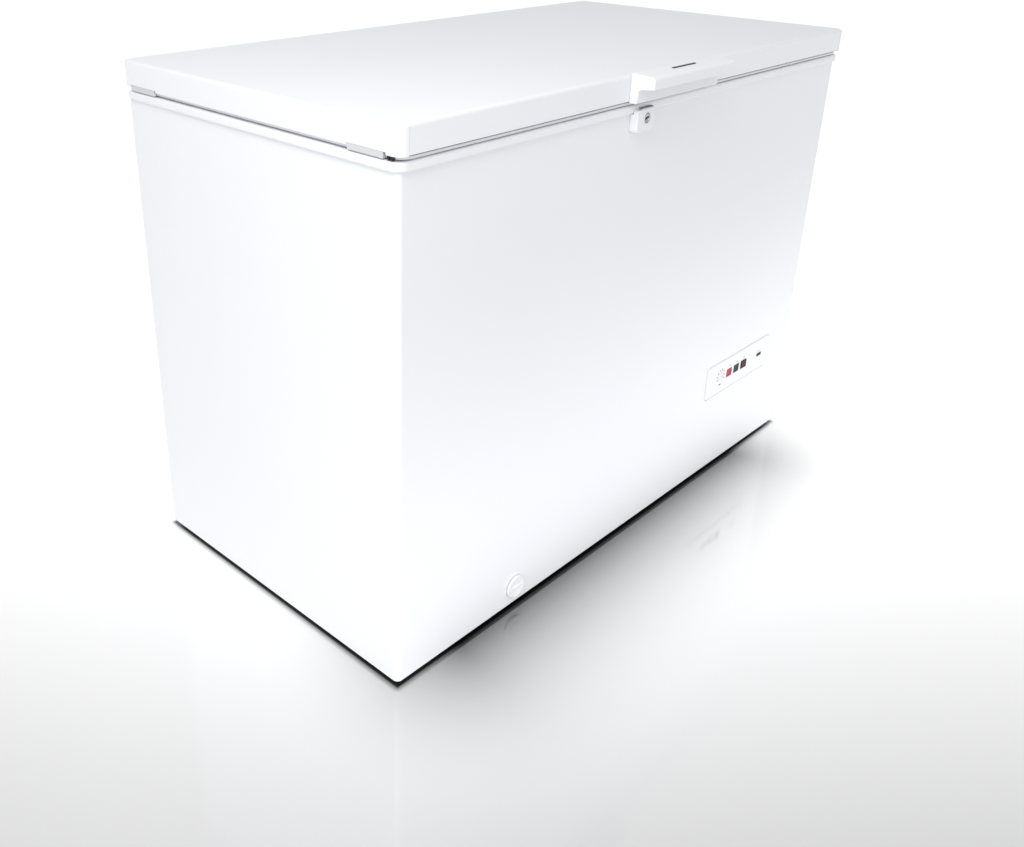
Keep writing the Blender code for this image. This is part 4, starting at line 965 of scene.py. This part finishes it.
def shade_near(tree, place, low, high, reach, darkest):
    """The share of light on the floor around a rectangle: darkest inside, rising to 1 at reach."""
    centre = (Vector(low) + Vector(high)) / 2
    half = (Vector(high) - Vector(low)) / 2
    nought = (0.0, 0.0, 0.0)
    vectors = "ShaderNodeVectorMath"
    aside = add(tree, vectors, {"operation": "SUBTRACT"}, {0: place, 1: centre}).outputs[0]
    folded = add(tree, vectors, {"operation": "ABSOLUTE"}, {0: aside}).outputs[0]
    past = add(tree, vectors, {"operation": "SUBTRACT"}, {0: folded, 1: half}).outputs[0]
    outside = add(tree, vectors, {"operation": "MAXIMUM"}, {0: past, 1: nought}).outputs[0]
    length = add(tree, vectors, {"operation": "LENGTH"}, {0: outside}).outputs["Value"]
    ramp = {"Value": length, "From Min": 0.0, "From Max": reach, "To Min": 1.0, "To Max": 0.0}
    near = add(tree, "ShaderNodeMapRange", {}, ramp).outputs[0]
    shade = add(tree, "ShaderNodeMath", {"operation": "MULTIPLY"}, {0: near, 1: near}).outputs[0]
    ramp = {"Value": shade, "From Min": 0.0, "From Max": 1.0, "To Min": 1.0, "To Max": darkest}
    return add(tree, "ShaderNodeMapRange", {}, ramp).outputs[0]


def paper(name):
    """The floor: part of its light is its own, which keeps the shadows on it faint."""
    made = bpy.data.materials.new(name)
    made.use_nodes = True
    tree = made.node_tree
    place = add(tree, "ShaderNodeTexCoord").outputs["Object"]
    away = (math.sin(YAW), math.cos(YAW), 0.0)
    depth = add(tree, "ShaderNodeVectorMath", {"operation": "DOT_PRODUCT"}, {0: place, 1: away})
    ramp = {"Value": depth.outputs["Value"], "From Min": FLOOR_NEAR, "From Max": FLOOR_FAR}
    share = add(tree, "ShaderNodeMapRange", {}, ramp).outputs[0]
    fibre = add(tree, "ShaderNodeTexNoise", {}, {"Vector": place, "Scale": 900.0, "Detail": 2.0})
    # Painted falloff: the floor's colour runs from grey near the viewer to white far away.
    colours = {0: share, 6: linear("B3B3B3"), 7: linear("F6F6F6")}
    mixed = add(tree, "ShaderNodeMix", {"data_type": "RGBA"}, colours).outputs[2]
    low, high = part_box("cabinet_wrap")
    low.z = high.z = 0.0
    left = (low.x + SHADE_LEFT, low.y, 0.0)
    right = (high.x - SHADE_RIGHT, low.y, 0.0)
    # Painted shade: a soft shadow ahead of the cabinet's front and a dark contact line under it,
    # multiplied into the colour.
    soft = shade_near(tree, place, left, right, SHADE_REACH, SHADE_DARKEST)
    inset = Vector((CONTACT_INSET, CONTACT_INSET, 0.0))
    corners = (low + inset, high - inset)
    under = shade_near(tree, place, *corners, CONTACT_REACH, CONTACT_DARKEST)
    both = add(tree, "ShaderNodeMath", {"operation": "MULTIPLY"}, {0: soft, 1: under}).outputs[0]
    dimmed = {0: mixed, "Scale": both}
    mixed = add(tree, "ShaderNodeVectorMath", {"operation": "SCALE"}, dimmed).outputs[0]
    surface = tree.nodes["Principled BSDF"]
    tree.links.new(mixed, surface.inputs["Base Color"])
    tree.links.new(mixed, surface.inputs["Emission Color"])
    surface.inputs["Emission Strength"].default_value = 0.38
    surface.inputs["Roughness"].default_value = 0.07
    surface.inputs["IOR"].default_value = 2.2
    relief = {"Height": fibre.outputs[0], "Distance": 0.000002, "Strength": 0.5}
    tree.links.new(add(tree, "ShaderNodeBump", {}, relief).outputs[0], surface.inputs["Normal"])
    return made


sheet = block((-FLOOR_SIZE, -FLOOR_SIZE, -0.02), (FLOOR_SIZE, FLOOR_SIZE, 0))
floor = bpy.data.objects.new("paper_floor", sheet)
floor.data.materials.append(paper("pale_paper_floor"))
bpy.context.scene.collection.objects.link(floor)

world = bpy.data.worlds.new("white_room")
world.use_nodes = True
background = world.node_tree.nodes["Background"]
background.inputs["Color"].default_value = linear("FDFDFE")
background.inputs["Strength"].default_value = 0.745
bpy.context.scene.world = world


def softbox(name, place, target, size, power, spread=180):
    """A soft box that faces a point, its power in watts and its spread in degrees."""
    light = bpy.data.lights.new(name, "AREA")
    light.shape = "RECTANGLE"
    light.size, light.size_y = size
    light.energy = power
    light.spread = math.radians(spread)
    made = bpy.data.objects.new(name, light)
    made.location = place
    made.rotation_euler = (Vector(target) - Vector(place)).to_track_quat("-Z", "Y").to_euler()
    bpy.context.scene.collection.objects.link(made)


softbox("top_softbox", (-1.25, -0.55, 1.8), (-0.2, -0.1, 0.86), (0.8, 0.8), 10)
softbox("corner_softbox", (-1.5, -0.75, 0.25), (-0.6, -0.1, 0.15), (0.6, 0.4), 3.9)
softbox("far_softbox", (0.4, -3.4, 1.1), (0.1, -0.3, 0.50), (2.0, 1.2), 7)
softbox("front_softbox", (0.2, -1.5, 0.10), (0.2, -0.3, 0.10), (2.2, 0.1), 0.9, 50)

lens = bpy.data.cameras.new("camera")
lens.lens = 35.96
lens.sensor_width = 36.0
lens.shift_x = 0.0938
lens.shift_y = -0.0879
camera = bpy.data.objects.new("camera", lens)
ahead = Vector((math.sin(YAW) * math.cos(PITCH), math.cos(YAW) * math.cos(PITCH), -math.sin(PITCH)))
level = Vector((math.cos(YAW), -math.sin(YAW), 0.0))
upright = level.cross(ahead)
right = math.cos(ROLL) * level + math.sin(ROLL) * upright
up = math.cos(ROLL) * upright - math.sin(ROLL) * level
facing = Matrix((right, up, -ahead)).transposed().to_4x4()
camera.matrix_world = Matrix.Translation((-1.4293, -1.1510, 1.1364)) @ facing
bpy.context.scene.collection.objects.link(camera)
bpy.context.scene.camera = camera
bpy.context.scene.view_settings.view_transform = "Standard"
